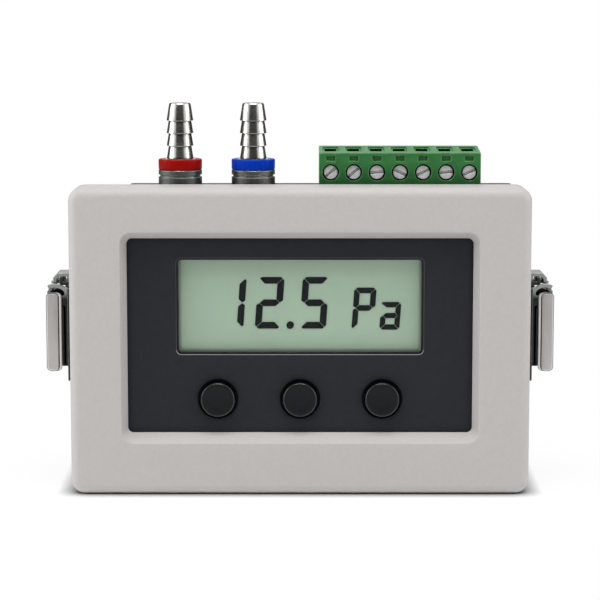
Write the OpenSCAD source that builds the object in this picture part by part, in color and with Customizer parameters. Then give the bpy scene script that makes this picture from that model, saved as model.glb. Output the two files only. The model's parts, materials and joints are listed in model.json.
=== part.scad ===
// Wall-mounted differential pressure gauge: a latched case with a display, three buttons,
// two hose fittings and a plug-in screw terminal.
// X is to the right, Y goes back from the face, Z is up. The origin is under the middle.

/* [Case] */
// Width of the case
case_w = 100; // [98:1:116]
// Height of the front bezel
case_h = 67.1; // [66:0.5:76]
// Depth of the front bezel
bezel_d = 10; // [9.5:0.5:11]
// Depth of the rear housing behind the bezel
rear_d = 24.8; // [23:0.2:34]
// Thickness of the case walls
case_wall = 2.2; // [1.8:0.1:2.6]
// How much lower the rear housing's top is than the bezel's
rear_drop = 2.1; // [1.6:0.1:3]
// Radius of the bezel's outer corners
bezel_corner_r = 3.1; // [2.6:0.1:6]
// Rounding round the bezel's front edge
bezel_round_r = 2.2; // [1:0.1:3]
// Radius of the rear housing's corners
rear_corner_r = 2.4; // [2:0.1:4]
// Rounding round the rear housing's back edge
rear_round_r = 1.4; // [0.8:0.1:1.8]

/* [Face] */
// Width of the bezel beside the recess
frame_side = 11.15; // [10:0.05:12]
// Height of the bezel above the recess
frame_top = 9.65; // [9:0.05:11]
// Height of the bezel below the recess
frame_bottom = 11.35; // [10:0.05:12]
// Depth of the recess down to the face panel
recess_d = 3; // [2.4:0.1:3.4]
// Width of the sloped rim at the sides of the recess
rim_side = 1.4; // [1:0.05:2.2]
// Width of the sloped rim above the recess
rim_top = 1.6; // [1:0.05:2.2]
// Width of the sloped rim below the recess
rim_bottom = 2.15; // [1.4:0.05:2.4]
// Thickness of the face panel
panel_t = 2; // [1.8:0.1:2.4]
// How far the panel reaches behind the bezel's rim
panel_lap = 2; // [1.2:0.1:2.2]
// Width of the display window
window_w = 53; // [44:0.2:54]
// Height of panel above the display window
window_drop = 4.6; // [4:0.1:5]
// Height of panel below the display window
window_rise = 17; // [16.9:0.1:19]
// Thickness of the clear window pane
pane_t = 1; // [0.6:0.1:1.2]
// Thickness of the display glass
glass_t = 1.8; // [1.4:0.1:2]

/* [Buttons] */
// Diameter of a button cap
button_d = 7.46; // [6.5:0.02:8]
// Distance between the buttons
button_pitch = 17.9; // [14:0.1:21]
// Height of the button centres above the panel's lower edge
button_rise = 7.2; // [6.2:0.1:7.2]
// How far the caps stand out of the panel
button_proud = 1.8; // [0.8:0.1:1.8]
// Travel of a button
button_travel = 0.6; // [0.3:0.1:0.7]
// Gap round a cap where it shows in the panel
button_gap = 0.5; // [0.2:0.02:0.5]
// Sliding clearance of a cap in its guide
slide_gap = 0.09; // [0.05:0.01:0.1]

/* [Hose fittings] */
// Distance between the two hose fittings
fitting_pitch = 16.15; // [15:0.05:18]
// Distance of the fittings' middle from the case's middle, as a share of the case's width
fitting_share = 0.184; // [0.175:0.001:0.195]
// Depth of the fitting axes behind the face
fitting_depth = 16; // [15.6:0.1:18]
// Largest diameter of a barb
barb_d = 5.9; // [5:0.1:6.6]
// Diameter at the small end of a barb
barb_neck_d = 5; // [4.4:0.1:5]
// Length of one lower barb
barb_len = 2.77; // [2.4:0.01:3.2]
// Length of the top barb
tip_len = 3.9; // [3.2:0.1:4.6]
// Diameter of the bore through a fitting
fitting_bore_d = 2.8; // [2:0.1:3]
// Diameter of the coloured ring and the collar
ring_d = 9.6; // [9:0.1:10]
// Height of the coloured ring
ring_h = 2.44; // [2:0.02:3]
// Height of the metal collar under the ring
collar_h = 3.35; // [2.4:0.05:3.6]
// Diameter of the threaded shank
shank_d = 6.6; // [6:0.1:7]

/* [Terminal] */
// Distance between the terminal's poles
pole_pitch = 5.08; // [5:0.01:5.2]
// Distance of the terminal's middle from the case's middle, as a share of the case's width
terminal_share = 0.22; // [0.216:0.001:0.226]
// Depth of the terminal's front face behind the case's face
terminal_depth = 13; // [12.4:0.1:14]
// Depth of the terminal from front to back
terminal_d = 11; // [10.8:0.1:12]
// Height of the plug's front face
plug_front_h = 7.1; // [6.8:0.1:7.6]
// How much higher the plug is at its back
plug_rise = 0.95; // [0.6:0.05:2]
// Height of the header above the connector plate
header_proud = 0.5; // [0.3:0.1:0.6]
// Diameter of a clamp screw's head
clamp_head_d = 3.1; // [2.9:0.1:3.2]
// Diameter of the hole round a clamp screw's head
clamp_hole_d = 3.6; // [3.4:0.1:3.8]
// Outer diameter of a clamp screw's thread
clamp_thread_d = 2.5; // [2.3:0.1:2.6]
// Travel of a wire cage from open to closed
cage_travel = 1.8; // [1.4:0.1:1.8]
// Length of the plug's tongue in the header
tongue_h = 9.4; // [8.8:0.1:9.6]

/* [Mounting yoke and latches] */
// Thickness of the yoke's steel
yoke_t = 1.2; // [1:0.1:1.6]
// Height of the yoke
yoke_h = 20.7; // [20.4:0.1:22]
// Height of the yoke's lower edge above the case's bottom
yoke_rise = 23.3; // [20:0.1:25]
// Distance between the wall screw holes
wall_hole_pitch = 60; // [50:1:70]
// Diameter of a wall screw hole
wall_hole_d = 4.5; // [4:0.1:5]
// Width of a latch
latch_w = 10.5; // [10:0.1:12]
// Depth of a latch behind the case's face
latch_depth = 11.5; // [11:0.1:13]
// Thickness of the latch's sheet steel
latch_t = 0.8; // [0.7:0.05:0.9]
// Height of the lever
lever_h = 17.5; // [16.6:0.1:18.6]
// How far the lever stands out from the yoke
lever_out = 4.75; // [4.6:0.05:4.8]
// Diameter of the lever rivets and the claw pin
latch_pin_d = 1.2; // [1:0.1:1.3]

/* [Hidden] */

$fn = 48;
hull_fn = 48;
cut = 0.5;
snug = 0.02;
run_gap = 0.05;
seat_gap = 0.1;

// Case levels, and depths behind the face
total_d = bezel_d + rear_d + yoke_t;
rear_top = case_h - rear_drop;
rear_back = bezel_d + rear_d;
inner_w = case_w - 2 * case_wall;
inner_bottom = case_wall;
inner_top = rear_top - case_wall;
inner_mid = (inner_bottom + inner_top) / 2;
inner_corner_r = 1;
gasket_w = 1;
gasket_d = 1;
boss_r = 3;
case_screw_r = 1.5;
case_head_r = 2.7;
case_head_h = 1.7;
case_head_sink = 2;
boss_inset = 2.8;
case_screw_x = inner_w / 2 - boss_inset + gasket_w / 5;
case_screw_zs = [inner_bottom + boss_inset, inner_top - boss_inset];
case_screw_start = recess_d + 1.5;

// Recess and face panel
opening_w = case_w - 2 * (frame_side + rim_side);
recess_h = case_h - frame_top - frame_bottom;
opening_h = recess_h - rim_top - rim_bottom;
recess_mid = frame_bottom + recess_h / 2;
opening_corner_r = 1.1;
panel_bottom = frame_bottom + rim_bottom;
opening_mid = panel_bottom + opening_h / 2;
panel_back = recess_d + panel_t;
window_h = opening_h - window_drop - window_rise;
window_mid = panel_bottom + window_rise + window_h / 2;
window_corner_r = 0.7;
pane_lap = 1;
pane_gap = 0.15;
pane_back = panel_back - pane_gap;
pane_w = window_w + 2 * pane_lap;
pane_h = window_h + 2 * pane_lap;

// Display
glass_margin_x = 3.8;
glass_margin_z = 2.6;
glass_w = window_w + 2 * glass_margin_x;
glass_h = window_h + 2 * glass_margin_z;
glass_back = panel_back + glass_t;
light_t = 1.6;
light_back = glass_back + light_t;
shelf_t = 0.8;
zebra_w = 2;
zebra_len = window_w - 2 * glass_margin_x;
shelf_h = glass_h - 2 * (zebra_w + 2 * seat_gap);
display_frame_wall = 1.9;
display_room = 5.4;
board_front = panel_back + display_room;
board_t = 1.6;
board_back = board_front + board_t;

// Buttons and switches
button_z = panel_bottom + button_rise;
button_xs = [-button_pitch, 0, button_pitch];
guide_wall = 1.2;
guide_len = 1.4;
guide_back = panel_back + guide_len;
guide_step = 1.2;
flange_t = 0.8;
flange_out = 1;
tail_r = 2.4;
button_pad_t = 0.15;
button_back = guide_back + run_gap + flange_t + button_pad_t;
button_edge_r = 0.7;
hole_chamfer = 0.2;
plunger_r = 1.6;
plunger_len = 1.8;
switch_h = 2.4;
switch_w = 6;

// Main board
board_side_gap = 1;
board_w = inner_w - 2 * board_side_gap;
board_boss_gap = 0.5;
board_bottom = case_screw_zs[0] + boss_r + board_boss_gap;
board_top = case_screw_zs[1] - boss_r - board_boss_gap;
board_screw_side = 4.2;
board_screw_x = inner_w / 2 - board_screw_side;
board_screw_inset = 5.5;
board_screw_zs = [board_bottom + board_screw_inset, board_top - board_screw_inset];
board_boss_r = 2.3;
board_screw_r = 1.1;
board_head_r = 2;
board_head_h = 1.3;
board_screw_len = 5;

// Connector plate and hose fittings
plate_t = 1;
plate_top = rear_top + plate_t;
plate_inset = 11.8;
plate_left = -case_w / 2 + plate_inset;
plate_right = case_w / 2 - rear_corner_r;
plate_front = bezel_d + seat_gap;
plate_back = 27;
plate_corner_r = 1.2;
fitting_offset = case_w * fitting_share;
fitting_xs = [-fitting_offset - fitting_pitch / 2, -fitting_offset + fitting_pitch / 2];
seal_t = 0.5;
seal_over = 0.15;
seal_d = ring_d + 2 * seal_over;
collar_base = plate_top + seal_t;
ring_base = collar_base + collar_h;
ring_wall = 1.3;
neck_len = 0.08;
barb_base = ring_base + ring_h + neck_len;
barb_count = 3;
tip_base = barb_base + barb_count * barb_len;
fitting_top = tip_base + tip_len;
rim_h = 0.35;
groove_h = 0.5;
groove_in = 0.35;
nut_h = 2.6;
nut_flat_d = 9;
nut_base = inner_top - nut_h;
shank_over = 0.6;
shank_base = nut_base - shank_over;
tail_barb_d = 4.2;
tail_neck_d = 3.4;
tail_bore_d = 1.8;
tail_barb_len = 5.6;
tail_base = shank_base - tail_barb_len;

// Pressure sensor and its two tubes
port_margin = 4;
sensor_w = fitting_pitch + 2 * port_margin;
sensor_h = 14;
sensor_d = 6.5;
port_r = 2;
port_len = 4.6;
tube_r = 2.9;
tube_bore_r = tail_barb_d / 2 + snug;
tube_len = (inner_top - inner_bottom) / 4;
tube_top = tail_base + port_len;
tube_base = tube_top - tube_len;
sensor_top = tube_base - seat_gap;

// Terminal: header, plug, screws and cages
poles = 7;
terminal_offset = case_w * terminal_share;
terminal_w = poles * pole_pitch;
pole_xs = [for (i = [0 : poles - 1]) terminal_offset + (i - (poles - 1) / 2) * pole_pitch];
terminal_back = terminal_depth + terminal_d;
header_top = plate_top + header_proud;
header_wall = 1.1;
header_floor = 1.7;
plug_base = header_top + seat_gap;
tongue_base = plug_base - tongue_h;
header_floor_top = tongue_base - 2 * seat_gap;
header_base = header_floor_top - header_floor;
link_board_t = 1.6;
link_board_base = header_base - link_board_t;
link_board_over = 2;
tongue_gap = 0.12;
pin_w = 1;
pin_tail = 2;
slope_back_share = 0.95;
slope_back = terminal_depth + terminal_d * slope_back_share;
plug_h = plug_front_h + plug_rise;
clamp_rise_share = 0.4;
screw_z = plug_base + plug_front_h * clamp_rise_share;
head_sink = 0.5;
head_h = 1.5;
head_front = terminal_depth + head_sink;
head_back = head_front + head_h;
shoulder_d = head_back + run_gap;
slot_w = 0.6;
slot_d = 0.8;
cell_w = 4.1;
clamp_web_t = 0.45;
cell_front = shoulder_d + clamp_web_t;
cell_wall = 1;
cell_back = terminal_back - cell_wall;
cage_gap = 0.15;
cage_w = 3.9;
cage_h = 3;
cage_front = cell_front + cage_travel + cage_gap;
cage_front_t = 1.2;
cage_back_t = 0.8;
cage_back = cell_back - 2 * seat_gap;
cage_side_t = 0.55;
cage_inner_w = cage_w - 2 * cage_side_t;
bar_w = 2;
bar_t = 0.6;
bar_front = cage_front + cage_front_t + cage_gap;
screw_tip = bar_front - run_gap;
pin_front = bar_front - seat_gap - pin_w;
leaf_t = 0.4;
leaf_front = pin_front - seat_gap - leaf_t;
channel_gap = 0.25;
slot_turns = [-40, -40, -5, 25, -25, -5, -25];
entry_w = 3.5;
entry_front = cell_front + seat_gap;
entry_back = cell_back - cage_back_t * 0.75;
entry_sink = 0.45;
entry_rim = 0.7;
funnel_w = 2.6;
funnel_floor = screw_z + cage_h / 2 + seat_gap;
marker_w = 2;
marker_h = 1.1;
marker_d = 0.5;

// Yoke and latches, measured out from the yoke's ear
yoke_gap = 0.2;
ear_in = case_w / 2 + yoke_gap;
ear_out = ear_in + yoke_t;
yoke_top = yoke_rise + yoke_h;
yoke_bend_r = 2.4;
ear_over = 0.5;
ear_front = latch_depth - ear_over;
wall_z = yoke_rise + yoke_h / 2;
wall_pocket_margin = 8;
wall_pocket_w = wall_hole_pitch + 2 * wall_pocket_margin;
wall_pocket_h = 13;
wall_pocket_d = 4;
latch_mid = latch_depth + latch_w / 2;
lever_in = 1.35;
lever_drop = 1.1;
lever_top = yoke_top - lever_drop;
lever_base = lever_top - lever_h;
pivot_u = 2.9;
pivot_drop = 1.7;
pivot_z = lever_top - pivot_drop;
knuckle_u = 2.8;
knuckle_drop = 2.5;
knuckle_z = pivot_z - knuckle_drop;
knuckle_r = 1.15;
eye_r = 1.7;
arch_in_r = 2.75;
arch_t = 0.85;
arch_angles = [136, 62];
lever_end_r = 1;
base_gap = 0.2;
base_w = latch_w - 2 * (latch_t + base_gap);
claw_w = base_w - 2 * (latch_t + base_gap);
web_drop = 1.4;
web_top = knuckle_z - web_drop;
claw_rise = 5.9;
claw_top = pivot_z + claw_rise;
keeper_lip_gap = 0.15;
keeper_lip_top = claw_top - latch_t - keeper_lip_gap;
keeper_lip_h = 1.8;
keeper_shelf = keeper_lip_top - keeper_lip_h;
keeper_plate_u = latch_t / 2 - yoke_t - yoke_gap;
keeper_lip_u = 1.5;
keeper_h = 5.6;
keeper_top = keeper_shelf + keeper_h;
claw_shoulder_in = 0.45;
claw_shoulder_u = lever_out - claw_shoulder_in;
claw_neck_gap = 0.65;
claw_neck_u = keeper_lip_u + latch_t + claw_neck_gap;
claw_lip_u = -0.1;
claw_lip_gap = 0.7;
rivet_rise = 4.2;
rivet_r = 0.9;
rivet_head_r = 1.8;
rivet_head_h = 0.7;
rivet_span = 5;

// Y of a place at a depth behind the case's face
function back(depth) = depth - total_d / 2;

// Points along an arc, centre, radius, first and last angle
function arc(centre, r, first, last, steps = 8) =
    [for (i = [0 : steps]) centre + r * [cos(first + (last - first) * i / steps),
        sin(first + (last - first) * i / steps)]];

// Unit normal at a point of a path, widened at a bend so that the strip keeps its thickness
function unit(v) = v / norm(v);
function left_of(v) = [-v[1], v[0]];
function strip_normal(path, i) =
    let (before = i > 0 ? unit(path[i] - path[i - 1]) : unit(path[i + 1] - path[i]),
        after = i < len(path) - 1 ? unit(path[i + 1] - path[i]) : before,
        n = left_of(unit(before + after)))
    n / (n * left_of(before));

// A bent sheet strip in profile, half its thickness on each side of a path
module strip(path, t) {
    polygon(concat([for (i = [0 : len(path) - 1]) path[i] - t / 2 * strip_normal(path, i)],
        [for (i = [len(path) - 1 : -1 : 0]) path[i] + t / 2 * strip_normal(path, i)]));
}

module round_rect(w, h, r) {
    square([w - 2 * r, h], center = true);
    square([w, h - 2 * r], center = true);
    for (x = [-1, 1], y = [-1, 1])
        translate([x * (w / 2 - r), y * (h / 2 - r)]) circle(r);
}

// Extrudes an XZ outline from one depth to another
module slab(front, rear) {
    translate([0, back(front), 0]) rotate([90, 0, 0]) mirror([0, 0, 1])
        linear_extrude(rear - front) children();
}

// A cylinder along Y from one depth to another
module rod(x, z, r, front, rear) {
    translate([x, back(front), z]) rotate([-90, 0, 0]) cylinder(h = rear - front, r = r);
}

// A box given by its middle in X, its depths and its heights
module block(x, w, front, rear, low, high) {
    translate([x - w / 2, back(front), low]) cube([w, rear - front, high - low]);
}

// A case block with rounded corners, rounded off along the edge at the end of its depth
module case_block(w, low, high, front, depth, corner, edge, round_front) {
    profile = concat([[0, 0], [corner, 0]],
        arc([corner - edge, depth - edge], edge, 0, 90, 6), [[0, depth]]);
    hull()
        for (x = [-1, 1], z = [low + corner, high - corner])
            translate([x * (w / 2 - corner), back(round_front ? front + depth : front), z])
                rotate([round_front ? 90 : -90, 0, 0])
                    rotate_extrude($fn = hull_fn) polygon(profile);
}

module front_bezel() color([0.75, 0.73, 0.72]) difference() {
    union() {
        difference() {
            case_block(case_w, 0, case_h, 0, bezel_d, bezel_corner_r, bezel_round_r, true);
            translate([0, 0, inner_mid])
                slab(recess_d, bezel_d + cut) round_rect(inner_w, inner_top - inner_bottom, inner_corner_r);
        }
        for (x = [-1, 1], z = case_screw_zs)
            intersection() {
                rod(x * case_screw_x, z, boss_r, recess_d - cut, bezel_d);
                block(0, inner_w + case_wall, 0, bezel_d, inner_bottom - case_wall / 2,
                    inner_top + case_wall / 2);
            }
        for (x = [-1, 1], z = board_screw_zs)
            rod(x * board_screw_x, z, board_boss_r, recess_d - cut, board_front);
    }
    // The sloped opening of the recess
    hull() {
        translate([0, 0, recess_mid]) slab(-snug, 0)
            round_rect(opening_w + 2 * rim_side, recess_h, opening_corner_r + rim_side, $fn = 32);
        translate([0, 0, opening_mid]) slab(recess_d, recess_d + snug)
            round_rect(opening_w, opening_h, opening_corner_r, $fn = 32);
    }
    for (x = [-1, 1], z = case_screw_zs)
        rod(x * case_screw_x, z, case_screw_r + snug, case_screw_start, bezel_d + cut);
    for (x = [-1, 1], z = board_screw_zs)
        rod(x * board_screw_x, z, board_screw_r + snug, recess_d + 1, board_front + cut);
}

module rear_housing() color([0.2, 0.21, 0.22]) difference() {
    union() {
        difference() {
            case_block(case_w, 0, rear_top, bezel_d, rear_d, rear_corner_r, rear_round_r, false);
            translate([0, 0, inner_mid]) slab(bezel_d - cut, rear_back - case_wall)
                round_rect(inner_w, inner_top - inner_bottom, inner_corner_r);
        }
        for (x = [-1, 1], z = case_screw_zs)
            intersection() {
                rod(x * case_screw_x, z, boss_r, bezel_d, rear_back - case_wall / 2);
                block(0, inner_w + case_wall, bezel_d, rear_back, inner_bottom - case_wall / 2,
                    inner_top + case_wall / 2);
            }
        // The wall of the pocket that takes the wall screws' heads
        block(0, wall_pocket_w + 2 * case_wall, rear_back - wall_pocket_d - case_wall,
            rear_back - case_wall / 2, wall_z - wall_pocket_h / 2 - case_wall,
            wall_z + wall_pocket_h / 2 + case_wall);
    }
    translate([0, 0, wall_z]) slab(rear_back - wall_pocket_d, rear_back + cut)
        round_rect(wall_pocket_w, wall_pocket_h, case_wall);
    for (x = [-1, 1], z = case_screw_zs) {
        rod(x * case_screw_x, z, case_screw_r + seat_gap, bezel_d - cut, rear_back + cut);
        rod(x * case_screw_x, z, case_head_r + seat_gap, rear_back - case_head_sink, rear_back + cut);
    }
    gasket_ring(bezel_d - cut, bezel_d + gasket_d + snug, gasket_w + 2 * snug);
    for (x = fitting_xs)
        translate([x, back(fitting_depth), inner_top - cut])
            cylinder(h = case_wall + 2 * cut, d = shank_d + 2 * seat_gap);
    block(terminal_offset, terminal_w + 4 * seat_gap, terminal_depth - 2 * seat_gap,
        terminal_back + 2 * seat_gap, inner_top - cut, rear_top + cut);
    for (side = [-1, 1], y = [-1, 1])
        translate([0, back(latch_mid + y * rivet_span / 2), keeper_shelf + rivet_rise])
            rotate([0, 90, 0]) translate([0, 0, side > 0 ? inner_w / 2 - cut : -case_w / 2 - cut])
                cylinder(h = case_wall + 2 * cut, r = rivet_r + snug);
}

// A closed ring in the middle of the case's wall
module gasket_ring(front, rear, w) {
    wall_mid_w = inner_w + case_wall;
    wall_mid_h = inner_top - inner_bottom + case_wall;
    translate([0, 0, inner_mid]) slab(front, rear) difference() {
        round_rect(wall_mid_w + w, wall_mid_h + w, inner_corner_r + w / 2);
        round_rect(wall_mid_w - w, wall_mid_h - w, inner_corner_r);
    }
}

module case_gasket() color([0.1, 0.1, 0.1])
    gasket_ring(bezel_d, bezel_d + gasket_d, gasket_w);

module case_screws() color([0.7, 0.7, 0.7])
    for (x = [-1, 1], z = case_screw_zs) difference() {
        union() {
            rod(x * case_screw_x, z, case_screw_r, case_screw_start + seat_gap,
                rear_back - case_head_sink + snug);
            rod(x * case_screw_x, z, case_head_r, rear_back - case_head_sink,
                rear_back - case_head_sink + case_head_h);
        }
        for (turn = [0, 90])
            translate([x * case_screw_x, back(rear_back - case_head_sink + case_head_h), z])
                rotate([0, turn, 0])
                    cube([case_head_r * 1.2, case_head_h * 1.2, case_screw_r / 3], center = true);
    }

module face_panel() color([0.2, 0.21, 0.22]) difference() {
    union() {
        translate([0, 0, opening_mid]) slab(recess_d, panel_back)
            round_rect(opening_w + 2 * panel_lap, opening_h + 2 * panel_lap, opening_corner_r);
        for (x = button_xs)
            rod(x, button_z, button_d / 2 + slide_gap + guide_wall, panel_back - cut, guide_back);
    }
    translate([0, 0, window_mid]) {
        slab(recess_d - cut, panel_back) round_rect(window_w, window_h, window_corner_r);
        slab(pane_back - pane_t, panel_back + cut)
            round_rect(pane_w + 2 * snug, pane_h + 2 * snug, window_corner_r);
    }
    for (x = button_xs) {
        rod(x, button_z, button_d / 2 + button_gap, recess_d - cut, recess_d + guide_step);
        rod(x, button_z, button_d / 2 + slide_gap, recess_d, guide_back + cut);
        translate([x, back(recess_d), button_z]) rotate([-90, 0, 0])
            cylinder(h = hole_chamfer, r1 = button_d / 2 + button_gap + hole_chamfer,
                r2 = button_d / 2 + button_gap);
    }
}

module display_window() color([0.8, 0.85, 0.8, 0.4])
    translate([0, 0, window_mid]) slab(pane_back - pane_t, pane_back)
        round_rect(pane_w, pane_h, window_corner_r);

module lcd_glass() color([0.58, 0.67, 0.58])
    block(0, glass_w, panel_back, glass_back, window_mid - glass_h / 2, window_mid + glass_h / 2);

module lcd_backlight() color([0.85, 0.9, 0.85])
    block(0, window_w, glass_back, light_back, window_mid - shelf_h / 2, window_mid + shelf_h / 2);

module lcd_frame() color([0.12, 0.12, 0.13]) {
    frame_w = glass_w + 2 * (display_frame_wall + seat_gap);
    frame_h = glass_h + 2 * (display_frame_wall + seat_gap);
    difference() {
        block(0, frame_w, panel_back, board_front, window_mid - frame_h / 2, window_mid + frame_h / 2);
        block(0, glass_w + 2 * seat_gap, panel_back - cut, board_front + cut,
            window_mid - glass_h / 2 - seat_gap, window_mid + glass_h / 2 + seat_gap);
    }
    block(0, frame_w - display_frame_wall, light_back, light_back + shelf_t,
        window_mid - shelf_h / 2, window_mid + shelf_h / 2);
}

module zebra_strips() color([0.85, 0.5, 0.6])
    for (end = [-1, 1])
        translate([0, 0, window_mid + end * (glass_h - zebra_w) / 2])
            block(0, zebra_len, glass_back, board_front, -zebra_w / 2, zebra_w / 2);

module switch_bodies() color([0.1, 0.1, 0.1])
    for (x = button_xs) difference() {
        block(x, switch_w, board_front - switch_h, board_front, button_z - switch_w / 2,
            button_z + switch_w / 2);
        rod(x, button_z, plunger_r + run_gap, board_front - switch_h - cut,
            button_back + plunger_len + button_travel + seat_gap);
    }

module main_board() color([0.1, 0.35, 0.2]) difference() {
    block(0, board_w, board_front, board_back, board_bottom, board_top);
    for (x = [-1, 1], z = board_screw_zs)
        rod(x * board_screw_x, z, board_screw_r + seat_gap, board_front - cut, board_back + cut);
}

module board_screws() color([0.7, 0.7, 0.7])
    for (x = [-1, 1], z = board_screw_zs) difference() {
        union() {
            rod(x * board_screw_x, z, board_screw_r, board_back - board_screw_len, board_back);
            rod(x * board_screw_x, z, board_head_r, board_back, board_back + board_head_h);
        }
        translate([x * board_screw_x, back(board_back + board_head_h), z])
            cube([board_head_r, board_head_h, board_screw_r / 2], center = true);
    }

// Controller, converter, relay and smoothing capacitor on the back of the board
module board_chips() color([0.12, 0.12, 0.13]) {
    chip_t = 1.4;
    chip_w = (board_top - board_bottom) / 5;
    relay_w = 15;
    relay_t = 10;
    can_r = 3.2;
    can_len = 11;
    block(-case_w / 5, chip_w, board_back, board_back + chip_t, board_bottom + 2 * chip_t,
        board_bottom + 2 * chip_t + chip_w);
    block(-case_w / 3, chip_w / 2, board_back, board_back + chip_t, board_bottom + 4 * chip_t,
        board_bottom + 4 * chip_t + chip_w);
    block(case_w / 4, relay_w, board_back, board_back + relay_t, board_bottom + 2 * chip_t,
        board_bottom + 2 * chip_t + relay_w);
    rod(case_w / 20, board_bottom + chip_w, can_r, board_back, board_back + can_len);
}

module pressure_sensor() color([0.15, 0.15, 0.16]) {
    block(-fitting_offset, sensor_w, board_back, fitting_depth + sensor_d / 2, sensor_top - sensor_h,
        sensor_top);
    for (x = fitting_xs)
        translate([x, back(fitting_depth), sensor_top - cut]) cylinder(h = port_len + cut, r = port_r);
}

// A silicone tube from a sensor port up to its fitting's inner barb
module sensor_tube(x) {
    translate([x, back(fitting_depth), tube_base]) difference() {
        cylinder(h = tube_top - tube_base, r = tube_r);
        translate([0, 0, -cut]) cylinder(h = tube_top - tube_base + 2 * cut, r = tube_bore_r);
    }
}

module tube_positive() color([0.85, 0.84, 0.8]) sensor_tube(fitting_xs[0]);
module tube_negative() color([0.85, 0.84, 0.8]) sensor_tube(fitting_xs[1]);

// A hose fitting: barbed tip, seat for the ring, grooved collar, shank and inner barb
module hose_fitting(x) {
    neck_r = barb_neck_d / 2;
    barb_r = barb_d / 2;
    seat_r = ring_d / 2 - ring_wall;
    collar_r = ring_d / 2;
    groove_z = collar_base + collar_h * 0.55;
    barbs = [for (i = [0 : barb_count - 1])
        each [[barb_r, barb_base + i * barb_len], [neck_r, barb_base + (i + 1) * barb_len]]];
    translate([x, back(fitting_depth), 0]) rotate_extrude() polygon(concat(
        [[tail_bore_d / 2, tail_base], [tail_neck_d / 2, tail_base],
        [tail_barb_d / 2, tail_base + tail_barb_len / 2],
        [tail_neck_d / 2, tail_base + tail_barb_len / 2], [tail_neck_d / 2, shank_base],
        [shank_d / 2, shank_base], [shank_d / 2, collar_base],
        [collar_r, collar_base], [collar_r, groove_z], [collar_r - groove_in, groove_z],
        [collar_r - groove_in, groove_z + groove_h], [collar_r, groove_z + groove_h],
        [collar_r, ring_base], [seat_r, ring_base], [seat_r, ring_base + ring_h],
        [neck_r, ring_base + ring_h], [neck_r, barb_base]],
        barbs,
        [[barb_r, tip_base], [neck_r * 0.96, fitting_top - rim_h], [neck_r * 0.9, fitting_top],
        [fitting_bore_d / 2, fitting_top], [fitting_bore_d / 2, ring_base],
        [tail_bore_d / 2, collar_base]]));
}

module fitting_positive() color([0.75, 0.75, 0.74]) hose_fitting(fitting_xs[0]);
module fitting_negative() color([0.75, 0.75, 0.74]) hose_fitting(fitting_xs[1]);

// A coloured ring with rounded edges and fine grip notches
module port_ring(x) {
    edge_r = 0.3;
    inner_r = ring_d / 2 - ring_wall + snug;
    outer_r = ring_d / 2;
    notch_count = 24;
    notch_r = 0.22;
    translate([x, back(fitting_depth), ring_base + snug]) difference() {
        rotate_extrude() polygon(concat([[inner_r, 0], [outer_r - edge_r, 0]],
            arc([outer_r - edge_r, edge_r], edge_r, -90, 0, 4),
            arc([outer_r - edge_r, ring_h - snug - edge_r], edge_r, 0, 90, 4),
            [[inner_r, ring_h - snug]]));
        for (i = [0 : notch_count - 1])
            rotate([0, 0, i * 360 / notch_count])
                translate([outer_r + notch_r / 3, 0, ring_h / 2]) cylinder(h = ring_h, r = notch_r, $fn = 16);
    }
}

module ring_positive() color([0.62, 0.04, 0.03]) port_ring(fitting_xs[0]);
module ring_negative() color([0.01, 0.2, 0.69]) port_ring(fitting_xs[1]);

module fitting_seals() color([0.08, 0.08, 0.08])
    for (x = fitting_xs) translate([x, back(fitting_depth), plate_top]) difference() {
        cylinder(h = seal_t, d = seal_d);
        translate([0, 0, -cut]) cylinder(h = seal_t + 2 * cut, d = shank_d + 2 * snug);
    }

module fitting_nuts() color([0.7, 0.7, 0.68])
    for (x = fitting_xs) translate([x, back(fitting_depth), nut_base]) difference() {
        cylinder(h = nut_h, d = nut_flat_d / cos(30), $fn = 6);
        translate([0, 0, -cut]) cylinder(h = nut_h + 2 * cut, d = shank_d + 2 * snug);
    }

module connector_plate() color([0.1, 0.1, 0.11]) difference() {
    translate([(plate_left + plate_right) / 2, back((plate_front + plate_back) / 2), rear_top])
        linear_extrude(plate_t)
            round_rect(plate_right - plate_left, plate_back - plate_front, plate_corner_r);
    for (x = fitting_xs)
        translate([x, back(fitting_depth), rear_top - cut])
            cylinder(h = plate_t + 2 * cut, d = shank_d + 2 * seat_gap);
    block(terminal_offset, terminal_w + 2 * seat_gap, terminal_depth - seat_gap,
        terminal_back + seat_gap, rear_top - cut, plate_top + cut);
}

module connector_board() color([0.1, 0.35, 0.2]) difference() {
    block(terminal_offset, terminal_w + 2 * link_board_over, board_back,
        terminal_back + link_board_over, link_board_base, header_base);
    for (x = pole_xs)
        block(x, pin_w + 2 * seat_gap, pin_front - seat_gap, pin_front + pin_w + seat_gap,
            link_board_base - cut, header_base + cut);
}

module terminal_header() color([0.22, 0.42, 0.25]) difference() {
    block(terminal_offset, terminal_w, terminal_depth, terminal_back, header_base, header_top);
    block(terminal_offset, terminal_w - 2 * header_wall, terminal_depth + header_wall,
        terminal_back - header_wall, header_floor_top, header_top + cut);
    for (x = pole_xs)
        block(x, pin_w + 2 * snug, pin_front - snug, pin_front + pin_w + snug,
            header_base - cut, header_floor_top + cut);
}

module header_pins() color([0.75, 0.75, 0.7])
    for (x = pole_xs)
        block(x, pin_w, pin_front, pin_front + pin_w, link_board_base - pin_tail,
            plug_base - 2 * pin_w);

// Height of the plug's sloped top at a depth
function plug_top(depth) = plug_base + plug_front_h
    + plug_rise * (depth - terminal_depth) / (slope_back - terminal_depth);

// The plug's side profile, as points of depth and height
module plug_profile() {
    polygon([[back(terminal_depth), plug_base],
        [back(terminal_depth), plug_base + plug_front_h],
        [back(slope_back), plug_base + plug_h], [back(terminal_back), plug_base + plug_h],
        [back(terminal_back), plug_base]]);
}

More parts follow.
